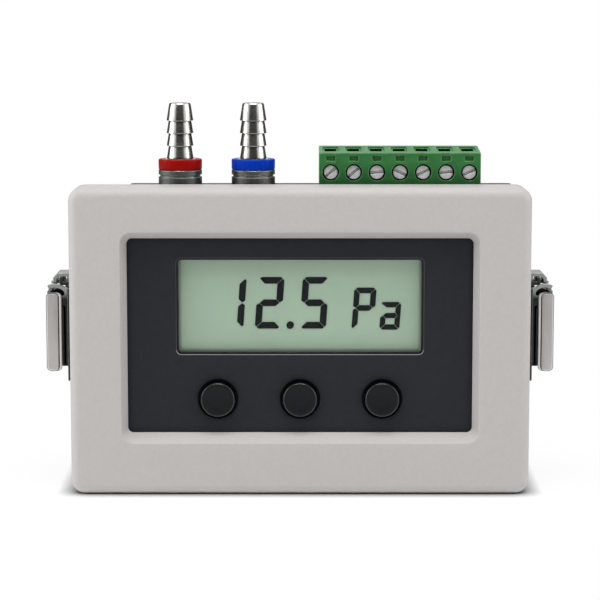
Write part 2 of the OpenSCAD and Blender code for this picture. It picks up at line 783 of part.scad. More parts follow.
// Extrudes a profile of depth and height along X, about a middle
module across(x, w) {
    translate([x - w / 2, 0, 0]) rotate([90, 0, 90]) linear_extrude(w) children();
}

module terminal_plug() color([0.23, 0.43, 0.26]) difference() {
    union() {
        across(terminal_offset, terminal_w) plug_profile();
        block(terminal_offset, terminal_w - 2 * (header_wall + tongue_gap),
            terminal_depth + header_wall + tongue_gap, terminal_back - header_wall - tongue_gap,
            tongue_base, plug_base + cut);
    }
    for (x = pole_xs) {
        // Screw hole, cage cell, wire entry with its funnel, marker pocket and contact channel
        rod(x, screw_z, clamp_hole_d / 2, terminal_depth - cut, shoulder_d);
        rod(x, screw_z, clamp_thread_d / 2 + seat_gap, terminal_depth, cell_front + cut);
        block(x, cell_w, cell_front, cell_back, screw_z - cage_h / 2 - seat_gap, funnel_floor);
        across(x, entry_w) polygon([
            [back(entry_front), plug_top(entry_front) - entry_sink],
            [back(entry_front), plug_base + plug_h + cut],
            [back(entry_back), plug_base + plug_h + cut],
            [back(entry_back), plug_top(entry_back) - entry_sink]]);
        across(x, funnel_w) polygon([
            [back(bar_front + bar_t), funnel_floor - cut],
            [back(bar_front + bar_t), funnel_floor + 2 * cut],
            [back(entry_front + entry_rim), plug_top(entry_front + entry_rim) - entry_sink],
            [back(entry_front + entry_rim), plug_base + plug_h],
            [back(entry_back - entry_rim / 2), plug_base + plug_h],
            [back(cell_back - cage_back_t), funnel_floor - cut]]);
        block(x, marker_w, terminal_depth - cut, terminal_depth + marker_d,
            plug_base + plug_front_h - marker_h * 1.6, plug_base + plug_front_h - marker_h * 0.6);
        block(x, bar_w + 2 * channel_gap, leaf_front - channel_gap, bar_front + bar_t + channel_gap,
            tongue_base - cut, screw_z);
    }
}

module plug_contacts() color([0.75, 0.7, 0.5])
    for (x = pole_xs) {
        block(x, bar_w, bar_front, bar_front + bar_t, tongue_base + seat_gap,
            screw_z + cage_h / 2);
        block(x, bar_w, leaf_front, bar_front + snug, plug_base - pin_w, plug_base - pin_w + leaf_t);
        block(x, bar_w, leaf_front, leaf_front + leaf_t, tongue_base + seat_gap,
            plug_base - pin_w + snug);
    }

module clamp_screw(i) color([0.72, 0.72, 0.7]) difference() {
    union() {
        rod(pole_xs[i], screw_z, clamp_head_d / 2, head_front, head_back);
        rod(pole_xs[i], screw_z, clamp_thread_d / 2, head_back - snug, screw_tip);
    }
    translate([pole_xs[i], back(head_front), screw_z]) rotate([0, slot_turns[i], 0])
        cube([clamp_head_d * 1.2, slot_d * 2, slot_w], center = true);
}

module wire_cage(i) color([0.7, 0.66, 0.5]) difference() {
    block(pole_xs[i], cage_w, cage_front, cage_back, screw_z - cage_h / 2, screw_z + cage_h / 2);
    block(pole_xs[i], cage_inner_w, cage_front + cage_front_t, cage_back - cage_back_t,
        screw_z - cage_h, screw_z + cage_h);
    rod(pole_xs[i], screw_z, clamp_thread_d / 2 + run_gap, cage_front - cut,
        cage_front + cage_front_t + cut);
}

// A button: rounded cap, retaining flange behind the guide, and a tail on the switch
module button(x) color([0.13, 0.13, 0.14]) {
    cap_front = recess_d - button_proud;
    cap_r = button_d / 2;
    cap_len = guide_back + run_gap - cap_front;
    translate([x, back(cap_front), button_z]) rotate([-90, 0, 0]) rotate_extrude()
        polygon(concat([[0, 0]],
            arc([cap_r - button_edge_r, button_edge_r], button_edge_r, -90, 0, 5),
            [[cap_r, cap_len], [cap_r + flange_out, cap_len],
            [cap_r + flange_out, cap_len + flange_t], [tail_r, cap_len + flange_t],
            [tail_r, button_back - cap_front], [0, button_back - cap_front]]));
}

module switch_plunger(x) color([0.3, 0.3, 0.3])
    rod(x, button_z, plunger_r, button_back, button_back + plunger_len);

module mounting_yoke() color([0.72, 0.71, 0.7]) difference() {
    translate([0, 0, yoke_rise]) linear_extrude(yoke_h) yoke_outline();
    for (x = [-1, 1])
        rod(x * wall_hole_pitch / 2, wall_z, wall_hole_d / 2, rear_back - cut, total_d + cut);
}

// Plan of the yoke: a back plate whose ends bend forward along the case's sides
module yoke_outline() {
    bend_in = yoke_bend_r - yoke_t;
    difference() {
        union() {
            translate([-ear_out + yoke_bend_r, back(rear_back)])
                square([2 * (ear_out - yoke_bend_r), yoke_t]);
            for (x = [-1, 1]) {
                translate([x > 0 ? ear_in : -ear_out, back(ear_front)])
                    square([yoke_t, total_d - yoke_bend_r - ear_front]);
                translate([x * (ear_out - yoke_bend_r), back(total_d - yoke_bend_r)])
                    intersection() {
                        circle(yoke_bend_r);
                        translate([x > 0 ? 0 : -yoke_bend_r, 0]) square(yoke_bend_r);
                    }
            }
        }
        for (x = [-1, 1])
            translate([x * (ear_out - yoke_bend_r), back(total_d - yoke_bend_r)]) circle(bend_in);
    }
}

// Puts a latch profile, drawn as distance from the ear and height, on one side of the case
module latch_side(side, middle, w) {
    mirror([side > 0 ? 0 : 1, 0, 0])
        translate([ear_out, back(middle) + w / 2, 0]) rotate([90, 0, 0]) linear_extrude(w) children();
}

module latch_base(side) {
    latch_side(side, latch_mid, base_w)
        translate([0, lever_base + lever_end_r])
            square([latch_t, yoke_top - lever_base - lever_end_r]);
    for (face = [-1, 1])
        latch_side(side, latch_mid + face * (base_w - latch_t) / 2, latch_t) difference() {
            union() {
                // Eye of the lever rivet, its arm to the plate, and the arch over it
                translate([pivot_u, pivot_z]) circle(eye_r);
                translate([latch_t / 2, pivot_z - eye_r])
                    square([pivot_u - latch_t / 2, 1.5 * eye_r]);
                strip(arc([pivot_u, pivot_z], arch_in_r + arch_t / 2, arch_angles[0], arch_angles[1], 12),
                    arch_t);
                translate([latch_t / 2, lever_base + lever_end_r])
                    square([lever_in / 2, pivot_z - lever_base]);
            }
            translate([pivot_u, pivot_z]) circle(latch_pin_d / 2 + snug);
        }
}

module latch_bases() color([0.4, 0.4, 0.4]) { latch_base(-1); latch_base(1); }

module lever_rivets() color([0.7, 0.7, 0.7])
    for (side = [-1, 1], face = [-1, 1]) {
        shank = 2 * latch_t + base_gap;
        latch_side(side, latch_mid + face * (latch_w - shank) / 2, shank)
            translate([pivot_u, pivot_z]) circle(latch_pin_d / 2);
    }

// A keeper: plate on the case's side, shelf and upturned lip
module keepers() color([0.45, 0.45, 0.45])
    for (side = [-1, 1]) difference() {
        latch_side(side, latch_mid, claw_w) strip([
            [keeper_plate_u, keeper_top], [keeper_plate_u, keeper_shelf + latch_t / 2],
            [keeper_lip_u, keeper_shelf + latch_t / 2], [keeper_lip_u, keeper_lip_top]], latch_t);
        rivet_rods(side, rivet_r + snug, latch_t, cut);
    }

module rivet_rods(side, r, out, more) {
    for (y = [-1, 1])
        mirror([side > 0 ? 0 : 1, 0, 0])
            translate([inner_w / 2 - more, back(latch_mid + y * rivet_span / 2), keeper_shelf + rivet_rise])
                rotate([0, 90, 0]) cylinder(h = case_wall + out + 2 * more, r = r);
}

module keeper_rivets() color([0.6, 0.6, 0.6])
    for (side = [-1, 1]) {
        rivet_rods(side, rivet_r, latch_t, 0);
        for (y = [-1, 1])
            mirror([side > 0 ? 0 : 1, 0, 0])
                translate([inner_w / 2 - rivet_head_h, back(latch_mid + y * rivet_span / 2),
                    keeper_shelf + rivet_rise])
                    rotate([0, 90, 0]) cylinder(h = rivet_head_h, r = rivet_head_r);
    }

// The lever: a channel whose flanges carry the rivets and the claw's pin
module latch_lever(side) color([0.69, 0.68, 0.67]) {
    web_in = lever_out - latch_t;
    for (face = [-1, 1])
        latch_side(side, latch_mid + face * (latch_w - latch_t) / 2, latch_t) difference() {
            translate([(lever_in + lever_out) / 2, lever_base + lever_h / 2])
                round_rect(lever_out - lever_in, lever_h, lever_end_r);
            translate([pivot_u, pivot_z]) circle(latch_pin_d / 2 + run_gap);
            translate([knuckle_u, knuckle_z]) circle(latch_pin_d / 2 + snug);
        }
    latch_side(side, latch_mid, latch_w - latch_t) {
        translate([web_in, lever_base + lever_end_r])
            square([latch_t, web_top - lever_base - lever_end_r]);
    }
}

// The claw: knuckle on its pin, a shoulder outwards, and a hook over the keeper's lip
module latch_claw(side) color([0.72, 0.71, 0.7])
    latch_side(side, latch_mid, claw_w) difference() {
        union() {
            translate([knuckle_u, knuckle_z]) circle(knuckle_r);
            strip([[knuckle_u, knuckle_z], [claw_shoulder_u - latch_t / 4, pivot_z],
                [claw_shoulder_u, lever_top], [claw_neck_u, keeper_shelf + latch_t / 2],
                [claw_neck_u, claw_top - 1.5 * latch_t],
                [claw_neck_u - latch_t, claw_top - latch_t / 2], [claw_lip_u, claw_top - latch_t / 2],
                [claw_lip_u, keeper_shelf + latch_t + claw_lip_gap]], latch_t);
        }
        translate([knuckle_u, knuckle_z]) circle(latch_pin_d / 2 + run_gap);
    }

module claw_pin(side) color([0.7, 0.7, 0.7])
    latch_side(side, latch_mid, latch_w) translate([knuckle_u, knuckle_z]) circle(latch_pin_d / 2);

front_bezel();
rear_housing();
case_gasket();
case_screws();
face_panel();
display_window();
lcd_glass();
lcd_backlight();
lcd_frame();
zebra_strips();
switch_bodies();
main_board();
board_screws();
board_chips();
pressure_sensor();
tube_positive();
tube_negative();
fitting_positive();
fitting_negative();
ring_positive();
ring_negative();
fitting_seals();
fitting_nuts();
connector_plate();
connector_board();
terminal_header();
header_pins();
mounting_yoke();
latch_bases();
lever_rivets();
keepers();
keeper_rivets();
button(button_xs[0]);  // button_left
button(button_xs[1]);  // button_centre
button(button_xs[2]);  // button_right
switch_plunger(button_xs[0]);  // switch_plunger_left
switch_plunger(button_xs[1]);  // switch_plunger_centre
switch_plunger(button_xs[2]);  // switch_plunger_right
terminal_plug();
plug_contacts();
clamp_screw(0);  // clamp_screw_1
clamp_screw(1);  // clamp_screw_2
clamp_screw(2);  // clamp_screw_3
clamp_screw(3);  // clamp_screw_4
clamp_screw(4);  // clamp_screw_5
clamp_screw(5);  // clamp_screw_6
clamp_screw(6);  // clamp_screw_7
wire_cage(0);  // wire_cage_1
wire_cage(1);  // wire_cage_2
wire_cage(2);  // wire_cage_3
wire_cage(3);  // wire_cage_4
wire_cage(4);  // wire_cage_5
wire_cage(5);  // wire_cage_6
wire_cage(6);  // wire_cage_7
latch_lever(-1);  // latch_lever_left
latch_lever(1);  // latch_lever_right
latch_claw(-1);  // latch_claw_left
latch_claw(1);  // latch_claw_right
claw_pin(-1);  // claw_pin_left
claw_pin(1);  // claw_pin_right
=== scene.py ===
import json
import math

import bmesh
import bpy
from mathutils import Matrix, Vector

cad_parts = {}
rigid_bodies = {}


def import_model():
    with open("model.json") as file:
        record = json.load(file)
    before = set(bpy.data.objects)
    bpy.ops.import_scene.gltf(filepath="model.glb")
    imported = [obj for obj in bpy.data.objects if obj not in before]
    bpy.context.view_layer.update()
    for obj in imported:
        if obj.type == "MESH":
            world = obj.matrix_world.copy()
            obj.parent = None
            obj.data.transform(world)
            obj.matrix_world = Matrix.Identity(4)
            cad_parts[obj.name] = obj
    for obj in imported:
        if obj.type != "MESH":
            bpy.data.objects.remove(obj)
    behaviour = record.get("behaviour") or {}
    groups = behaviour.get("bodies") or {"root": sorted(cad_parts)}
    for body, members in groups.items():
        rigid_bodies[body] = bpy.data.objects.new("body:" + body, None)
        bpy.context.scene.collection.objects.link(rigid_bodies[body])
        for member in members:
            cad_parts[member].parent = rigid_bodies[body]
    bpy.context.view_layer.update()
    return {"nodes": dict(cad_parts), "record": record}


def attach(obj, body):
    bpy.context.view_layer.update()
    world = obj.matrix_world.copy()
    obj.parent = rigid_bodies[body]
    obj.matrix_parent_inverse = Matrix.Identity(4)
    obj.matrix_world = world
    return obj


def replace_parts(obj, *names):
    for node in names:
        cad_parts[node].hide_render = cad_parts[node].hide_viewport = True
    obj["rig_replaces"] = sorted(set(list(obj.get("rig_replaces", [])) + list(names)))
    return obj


for old in list(bpy.data.objects):
    bpy.data.objects.remove(old)
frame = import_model()
record = frame["record"]
bodyOf = {node: body for body, names in record["behaviour"]["bodies"].items() for node in names}
slotOf = {part["node"]: part["material_slot"] for part in record["subparts"]}
mm = 0.001
caseDepth = 36.0  # whole depth in mm, the frame's y is 0 at half of it
print("frame loaded:", len(frame["nodes"]), "nodes")


# Colours are given as they look on screen, 0 to 255
def tint(red, green, blue):
    def linear(value):
        value /= 255
        return value / 12.92 if value <= 0.04045 else ((value + 0.055) / 1.055) ** 2.4
    return (linear(red), linear(green), linear(blue), 1.0)


# A point from millimetres: across, depth behind the face, height
def at(across, depth, height):
    return (across * mm, (depth - caseDepth / 2) * mm, height * mm)


def newObject(name, data):
    made = bpy.data.objects.new(name, data)
    bpy.context.scene.collection.objects.link(made)
    return made


cameraSettings = {
    "lens": 134.07, "sensor": 36.0, "clip": (0.01, 20.0),
    "place": (0.0, -0.4958, 0.1066), "tiltDown": 7.597,
}


def makeCamera(s):
    data = bpy.data.cameras.new("photoCamera")
    data.lens, data.sensor_width = s["lens"], s["sensor"]
    data.clip_start, data.clip_end = s["clip"]
    camera = newObject("photoCamera", data)
    camera.location = s["place"]
    camera.rotation_euler = (math.radians(90 - s["tiltDown"]), 0, 0)
    bpy.context.scene.camera = camera


makeCamera(cameraSettings)
print("camera placed")


# Shader node helpers

def newGroup(name, inputs, outputs):
    group = bpy.data.node_groups.new(name, "ShaderNodeTree")
    for label, value in inputs.items():
        socket = group.interface.new_socket(
            name=label, in_out="INPUT", socket_type="NodeSocketFloat")
        socket.default_value = value
    for label in outputs:
        group.interface.new_socket(name=label, in_out="OUTPUT", socket_type="NodeSocketFloat")
    given = group.nodes.new("NodeGroupInput").outputs
    return group, given, group.nodes.new("NodeGroupOutput").inputs


# Links a socket, or sets its plain value
def feed(tree, socket, value):
    if isinstance(value, bpy.types.NodeSocket):
        tree.links.new(value, socket)
    elif value is not None:
        socket.default_value = value


def node(tree, kind, inputs=None, **settings):
    made = tree.nodes.new(kind)
    for name, value in settings.items():
        setattr(made, name, value)
    for key, value in (inputs or {}).items():
        feed(tree, made.inputs[key], value)
    return made


def maths(tree, operation, first, second=None, third=None, clamp=False):
    return node(tree, "ShaderNodeMath", {0: first, 1: second, 2: third},
                operation=operation, use_clamp=clamp).outputs[0]


def noise(tree, vector, scale, detail=2.0, rough=0.5):
    return node(tree, "ShaderNodeTexNoise", {
        "Vector": vector, "Scale": scale, "Detail": detail, "Roughness": rough}).outputs["Fac"]


def objectPlace(tree):
    return node(tree, "ShaderNodeTexCoord").outputs["Object"]


def objectParts(tree):
    return node(tree, "ShaderNodeSeparateXYZ", {"Vector": objectPlace(tree)}).outputs


# Shader node groups, with scales in 1/m and lengths in m

grainSettings = {"scale": 3500.0, "cellShare": 0.6, "cloud": 60.0}


# Fine moulded grain with the faint cloudiness of thick plastic
def makeGrainGroup(s):
    group, given, out = newGroup("mouldedGrain", {"Scale": s["scale"], "Cloud Scale": s["cloud"]},
                                 ["Height", "Cloud"])
    place = objectPlace(group)
    fine = noise(group, place, given["Scale"], detail=3.0, rough=0.6)
    cells = node(group, "ShaderNodeTexVoronoi", {"Vector": place, "Scale": given["Scale"]},
                 feature="SMOOTH_F1").outputs["Distance"]
    group.links.new(maths(group, "MULTIPLY_ADD", cells, s["cellShare"], fine), out["Height"])
    group.links.new(noise(group, place, given["Cloud Scale"], detail=4.0, rough=0.55),
                    out["Cloud"])
    return group


wearAndHighlightSettings = {"radius": 0.0004, "breakUp": 700.0, "amount": 0.5, "edgeGain": 6.0,
                "patchGain": 2.4, "patchShift": -0.6}


# Mask of the outer edges, broken up so that it isn't even; it lays edge wear, and on some pieces a
# painted highlight, on the edges
def makeWearAndHighlightGroup(s):
    group, given, out = newGroup(
        "edgeWearAndHighlight", {"Radius": s["radius"], "Break Up": s["breakUp"], "Amount": s["amount"]},
        ["Mask"])
    bevel = node(group, "ShaderNodeBevel", {"Radius": given["Radius"]}, samples=4)
    normal = node(group, "ShaderNodeNewGeometry").outputs["Normal"]
    turn = node(group, "ShaderNodeVectorMath", {0: bevel.outputs[0], 1: normal},
                operation="DOT_PRODUCT").outputs["Value"]
    edge = maths(group, "MULTIPLY", maths(group, "SUBTRACT", 1.0, turn), s["edgeGain"], clamp=True)
    patches = maths(group, "MULTIPLY_ADD",
                    noise(group, objectPlace(group), given["Break Up"], detail=3.0),
                    s["patchGain"], s["patchShift"], clamp=True)
    both = maths(group, "MULTIPLY", edge, patches)
    group.links.new(maths(group, "MULTIPLY", both, given["Amount"], clamp=True), out["Mask"])
    return group


smudgeSettings = {"scale": 90.0, "least": 0.4, "most": 0.5, "from": 0.3, "to": 0.7}


# Hand marks that change the gloss in soft patches
def makeSmudgeGroup(s):
    group, given, out = newGroup(
        "handMarks", {"Scale": s["scale"], "Least": s["least"], "Most": s["most"]}, ["Roughness"])
    patches = noise(group, objectPlace(group), given["Scale"], detail=4.0, rough=0.6)
    spread = node(group, "ShaderNodeMapRange", {
        "Value": patches, "From Min": s["from"], "From Max": s["to"],
        "To Min": given["Least"], "To Max": given["Most"]})
    group.links.new(spread.outputs[0], out["Roughness"])
    return group


sheetSettings = {"streaks": (4200.0, 4200.0, 190.0), "pits": 1400.0, "pitShare": 0.5,
                 "cloud": 240.0, "cloudShare": 0.5}


# Drawn and pressed sheet: long fine streaks and small pits
def makeSheetGroup(s):
    group, given, out = newGroup("drawnSheet", {"Streak Scale": 1.0}, ["Height", "Shade"])
    place = objectPlace(group)
    long = node(group, "ShaderNodeVectorMath", {0: place, 1: s["streaks"]}, operation="MULTIPLY")
    scaled = node(group, "ShaderNodeVectorMath", {
        0: long.outputs[0], "Scale": given["Streak Scale"]}, operation="SCALE")
    streaks = noise(group, scaled.outputs[0], 1.0, detail=3.0, rough=0.6)
    pits = noise(group, place, s["pits"])
    group.links.new(maths(group, "MULTIPLY_ADD", pits, s["pitShare"], streaks), out["Height"])
    cloud = noise(group, place, s["cloud"], detail=3.0)
    group.links.new(maths(group, "MULTIPLY_ADD", cloud, s["cloudShare"],
                          maths(group, "MULTIPLY", streaks, 1 - s["cloudShare"])), out["Shade"])
    return group


turnedSettings = {"lines": 9000.0, "cloud": 600.0, "cloudShare": 0.6, "lineShare": 0.4}


# Rings that a turning tool leaves round an upright axis
def makeTurnedGroup(s):
    group, given, out = newGroup("turnedLines", {"Lines": s["lines"]}, ["Height", "Shade"])
    up = maths(group, "MULTIPLY", objectParts(group)["Z"], given["Lines"])
    lines = node(group, "ShaderNodeTexNoise", {"W": up, "Scale": 1.0, "Detail": 2.0},
                 noise_dimensions="1D").outputs["Fac"]
    group.links.new(lines, out["Height"])
    cloud = noise(group, objectPlace(group), s["cloud"], detail=3.0)
    group.links.new(maths(group, "MULTIPLY_ADD", cloud, s["cloudShare"],
                          maths(group, "MULTIPLY", lines, s["lineShare"])), out["Shade"])
    return group


grainGroup, wearAndHighlightGroup = makeGrainGroup(grainSettings), makeWearAndHighlightGroup(wearAndHighlightSettings)
smudgeGroup, sheetGroup = makeSmudgeGroup(smudgeSettings), makeSheetGroup(sheetSettings)
turnedGroup = makeTurnedGroup(turnedSettings)
print("shader groups made")


def placed(tree, group, **values):
    made = tree.nodes.new("ShaderNodeGroup")
    made.node_tree = group
    for name, value in values.items():
        made.inputs[name.replace("_", " ")].default_value = value
    return made


def startMaterial(name):
    material = bpy.data.materials.new(name)
    material.use_nodes = True
    tree = material.node_tree
    tree.nodes.clear()
    shader = tree.nodes.new("ShaderNodeBsdfPrincipled")
    out = tree.nodes.new("ShaderNodeOutputMaterial")
    tree.links.new(shader.outputs[0], out.inputs[0])
    return material, tree, shader


def blended(tree, amount, first, second):
    # the Mix node's colour inputs are numbers 6 and 7
    return node(tree, "ShaderNodeMix", data_type="RGBA",
                inputs={0: amount, 6: first, 7: second}).outputs[2]


def bumped(tree, shader, height, depth):
    bump = node(tree, "ShaderNodeBump", {"Height": height, "Distance": depth})
    tree.links.new(bump.outputs[0], shader.inputs["Normal"])


# Roughness between two values, in the patches of hand marks
def smudged(tree, shader, rough, **values):
    marks = placed(tree, smudgeGroup, Least=rough[0], Most=rough[1], **values)
    tree.links.new(marks.outputs["Roughness"], shader.inputs["Roughness"])


# Edge wear and, on some pieces, painted edge highlights, given as the amount and the colour laid
# on the edges
def wornAndHighlightedEdges(tree, colour, wearAndHighlight, **values):
    mask = placed(tree, wearAndHighlightGroup, Amount=wearAndHighlight[0], **values).outputs["Mask"]
    return blended(tree, mask, colour, tint(*wearAndHighlight[1]))


# Share from 0 to 1 between two heights in mm
def rising(tree, low, high):
    return node(tree, "ShaderNodeMapRange", {
        "Value": objectParts(tree)["Z"], "From Min": low * mm, "From Max": high * mm}).outputs[0]


hollowShadeSettings = {"power": 1.8, "colour": tint(3, 3, 3), "samples": 6}


# Painted shade: darkens a colour in hollows, by how open they are within a reach in mm
def shadeHollows(tree, reach, colour, s=hollowShadeSettings):
    hollow = node(tree, "ShaderNodeAmbientOcclusion", {"Distance": reach * mm},
                  samples=s["samples"])
    return blended(tree, maths(tree, "POWER", hollow.outputs["AO"], s["power"]),
                   s["colour"], colour)


# Both tables give colours as the lighter and the darker one, rough as least and most, the edges'
# wear and painted highlights as amount and colour, deep as the reach in mm of the painted shade in
# hollows
plastics = {
    # grain in 1/m, depth in m, foot as two heights in mm between which the second colour ends, a
    # painted shade at the plug's foot and a painted highlight at the window lip's foot
    "case_abs": {
        "colours": ((185, 182, 180), (176, 173, 171)), "wearAndHighlight": (0.25, (204, 202, 200)),
        "grain": 3000, "cloud": 1300.0, "depth": 1.4e-5, "rough": (0.46, 0.56), "gloss": 0.3,
    },
    "housing_abs": {
        "colours": ((50, 52, 55), (42, 44, 47)), "wearAndHighlight": (0.3, (92, 95, 99)), "grain": 2600,
        "depth": 2.2e-5, "rough": (0.5, 0.62), "gloss": 0.3,
    },
    "panel_abs": {
        "colours": ((40, 42, 47), (33, 35, 40)), "wearAndHighlight": (0.25, (90, 93, 97)), "grain": 4200,
        "cloud": 900.0, "depth": 1.2e-5, "deep": 1.6, "rough": (0.5, 0.6), "gloss": 0.15,
    },
    "plate_black": {
        "colours": ((40, 42, 44), (30, 32, 34)), "wearAndHighlight": (0.35, (84, 86, 88)), "grain": 3600,
        "depth": 1.4e-5, "rough": (0.5, 0.6), "gloss": 0.25,
    },
    "button_black": {
        "colours": ((17, 19, 20), (14, 16, 17)), "wearAndHighlight": (0.2, (80, 83, 86)), "grain": 5200,
        "depth": 6e-6, "deep": 1.6, "rough": (0.34, 0.42), "gloss": 0.2,
    },
    # painted shade darker towards the plug's foot and in its hollows, and a painted highlight of
    # bright green along its edges
    "plug_green": {
        "colours": ((56, 120, 64), (34, 82, 42)), "wearAndHighlight": (0.9, (128, 190, 126)), "grain": 4000,
        "depth": 1e-5, "deep": 0.5, "foot": (66.4, 71.5), "rough": (0.36, 0.48), "gloss": 0.14,
    },
    "header_green": {
        "colours": ((42, 88, 50), (36, 77, 43)), "wearAndHighlight": (0.4, (92, 146, 96)), "grain": 4000,
        "depth": 1e-5, "rough": (0.4, 0.5), "gloss": 0.4,
    },
    # painted highlight: the rings' lighter edge colour stands for their lit rims
    "ring_red": {
        "colours": ((152, 7, 6), (136, 5, 4)), "wearAndHighlight": (0.7, (206, 74, 66)), "grain": 3000,
        "depth": 4e-6, "rough": (0.3, 0.4), "gloss": 0.06,
    },
    "ring_blue": {
        "colours": ((0, 54, 178), (0, 44, 160)), "wearAndHighlight": (0.7, (70, 124, 220)), "grain": 3000,
        "depth": 4e-6, "rough": (0.3, 0.4), "gloss": 0.06,
    },
    "buttonEdge": {
        "colours": ((30, 32, 33), (26, 28, 29)), "grain": 5200, "depth": 3e-6,
        "rough": (0.16, 0.2), "gloss": 0.55,
    },
    # painted shade: near black for linings put into holes where only shade falls
    "paintedShadeBlack": {
        "colours": ((5, 6, 6), (3, 4, 4)), "grain": 5000, "depth": 2e-6, "rough": (0.6, 0.7),
        "gloss": 0.02,
    },
    # painted shade: near black for the shaded walls round the window
    "windowTrim": {
        "colours": ((6, 6, 7), (4, 4, 5)), "grain": 5000, "depth": 2e-6, "rough": (0.3, 0.4),
        "gloss": 0.12,
    },
    # painted highlight: the light grey second colour lies along the lip's lower side, below the
    # foot heights
    "windowLip": {
        "colours": ((36, 38, 42), (134, 136, 138)), "grain": 5000, "depth": 2e-6,
        "foot": (31.05, 31.75), "rough": (0.4, 0.5), "gloss": 0.2,
    },
    "seal_rubber": {
        "colours": ((30, 30, 31), (24, 24, 25)), "wearAndHighlight": (0.1, (60, 60, 60)), "grain": 5000,
        "depth": 1e-5, "rough": (0.62, 0.76), "gloss": 0.3,
    },
    "chip_black": {
        "colours": ((34, 34, 36), (27, 27, 29)), "wearAndHighlight": (0.2, (74, 74, 76)), "grain": 6000,
        "depth": 8e-6, "rough": (0.45, 0.58), "gloss": 0.35,
    },
    "lcdInk": {
        "colours": ((25, 28, 30), (22, 25, 27)), "grain": 6000, "depth": 1e-6,
        "rough": (0.4, 0.48), "gloss": 0.15,
    },
}
# painted shade at the plug's foot, and a painted highlight at the window lip's foot
paintedFootShare = 0.75  # how far the foot's darkening outweighs the cloudiness


def makePlastic(name, s):
    material, tree, shader = startMaterial(name)
    grain = placed(tree, grainGroup, Scale=s["grain"])
    if "cloud" in s:
        grain.inputs["Cloud Scale"].default_value = s["cloud"]
    base = grain.outputs["Cloud"]
    if "foot" in s:
        base = maths(tree, "MULTIPLY_ADD", base, 1 - paintedFootShare,
                     maths(tree, "MULTIPLY", paintedFootShare, rising(tree, *s["foot"])))
    light, dark = s["colours"]
    base = blended(tree, base, tint(*dark), tint(*light))
    if "deep" in s:
        base = shadeHollows(tree, s["deep"], base)
    if "wearAndHighlight" in s:
        base = wornAndHighlightedEdges(tree, base, s["wearAndHighlight"])
    tree.links.new(base, shader.inputs["Base Color"])
    smudged(tree, shader, s["rough"])
    bumped(tree, shader, grain.outputs["Height"], s["depth"])
    shader.inputs["Specular IOR Level"].default_value = s["gloss"]
    return material


metals = {
    # lit as two heights in mm, between which the colour turns to litColour, a painted light;
    # turned metal has rings and the others the streaks of sheet
    "latch_steel": {
        "colours": ((212, 209, 206), (178, 175, 172)), "depth": 1.6e-5, "rough": (0.4, 0.52),
        "metallic": 0.8,
    },
    # painted shade: dark all over, with painted light on its arch above the lit heights and
    # painted highlights along its edges
    "latch_base_steel": {
        "colours": ((64, 66, 66), (46, 48, 49)), "wearAndHighlight": (0.8, (176, 178, 176)), "depth": 1.6e-5,
        "rough": (0.36, 0.48), "lit": (41.5, 43.2), "litColour": (172, 175, 172),
    },
    # painted shade: a long reach of hollow shade darkens the ears beside the case
    "yoke_steel": {
        "colours": ((196, 196, 194), (160, 160, 159)), "depth": 1.6e-5, "deep": 5.0,
        "rough": (0.32, 0.46),
    },
    "fitting_nickel": {
        "colours": ((222, 220, 215), (164, 164, 158)), "turned": True, "depth": 3e-6, "deep": 0.7,
        "rough": (0.19, 0.27),
    },
    # painted highlight along its edges and painted shade in its hollows
    "clawSteel": {
        "colours": ((190, 192, 190), (128, 132, 130)), "wearAndHighlight": (1.0, (222, 223, 220)),
        "depth": 1.6e-5, "deep": 0.8, "rough": (0.34, 0.46),
    },
    # painted shade: dark steel for the keepers, the strap's front edges and the levers' steps,
    # with painted highlights along its edges
    "shadedKeeperSteel": {
        "colours": ((70, 72, 72), (44, 46, 47)), "wearAndHighlight": (0.9, (176, 178, 176)), "depth": 1.6e-5,
        "rough": (0.36, 0.48),
    },
    # painted highlight: a brighter steel for the levers' folded strips and rims
    "leverHighlightSteel": {
        "colours": ((240, 239, 236), (214, 213, 210)), "depth": 6e-6, "rough": (0.34, 0.44),
        "metallic": 0.6,
    },
    "collarNickel": {
        "colours": ((128, 131, 128), (40, 44, 42)), "wearAndHighlight": (1.0, (214, 216, 212)), "depth": 1e-5,
        "rough": (0.34, 0.46),
    },
    "clamp_steel": {
        "colours": ((244, 245, 243), (204, 206, 206)), "wearAndHighlight": (0.8, (244, 246, 244)),
        "depth": 1e-5, "deep": 0.25, "rough": (0.3, 0.42), "metallic": 0.2,
    },
    "screw_steel": {
        "colours": ((206, 206, 208), (160, 162, 166)), "depth": 1e-5, "rough": (0.28, 0.42),
    },
    "contact_metal": {
        "colours": ((214, 206, 178), (186, 174, 138)), "depth": 8e-6, "rough": (0.28, 0.4),
    },
}
metalMarks, metalWearR = 260.0, 0.0003


def makeMetal(name, s):
    material, tree, shader = startMaterial(name)
    pattern = placed(tree, turnedGroup if s.get("turned") else sheetGroup)
    light, dark = s["colours"]
    colour = blended(tree, pattern.outputs["Shade"], tint(*dark), tint(*light))
    if "lit" in s:
        colour = blended(tree, rising(tree, *s["lit"]), colour, tint(*s["litColour"]))
    if "deep" in s:
        colour = shadeHollows(tree, s["deep"], colour)
    if "wearAndHighlight" in s:
        colour = wornAndHighlightedEdges(tree, colour, s["wearAndHighlight"], Radius=metalWearR)
    tree.links.new(colour, shader.inputs["Base Color"])
    smudged(tree, shader, s["rough"], Scale=metalMarks)
    bumped(tree, shader, pattern.outputs["Height"], s["depth"])
    shader.inputs["Metallic"].default_value = s.get("metallic", 1.0)
    return material


lcdSettings = {
    "colour": tint(175, 199, 176), "dark": tint(167, 191, 169), "edge": tint(126, 132, 122),
    "halfWidth": 26.5, "halfHeight": 10.175, "middle": 41.075, "fade": 0.8, "topEase": 0.5,
    "grain": 5200.0, "cloud": 90.0, "depth": 2e-6, "rough": (0.34, 0.4), "gloss": 0.2,
}


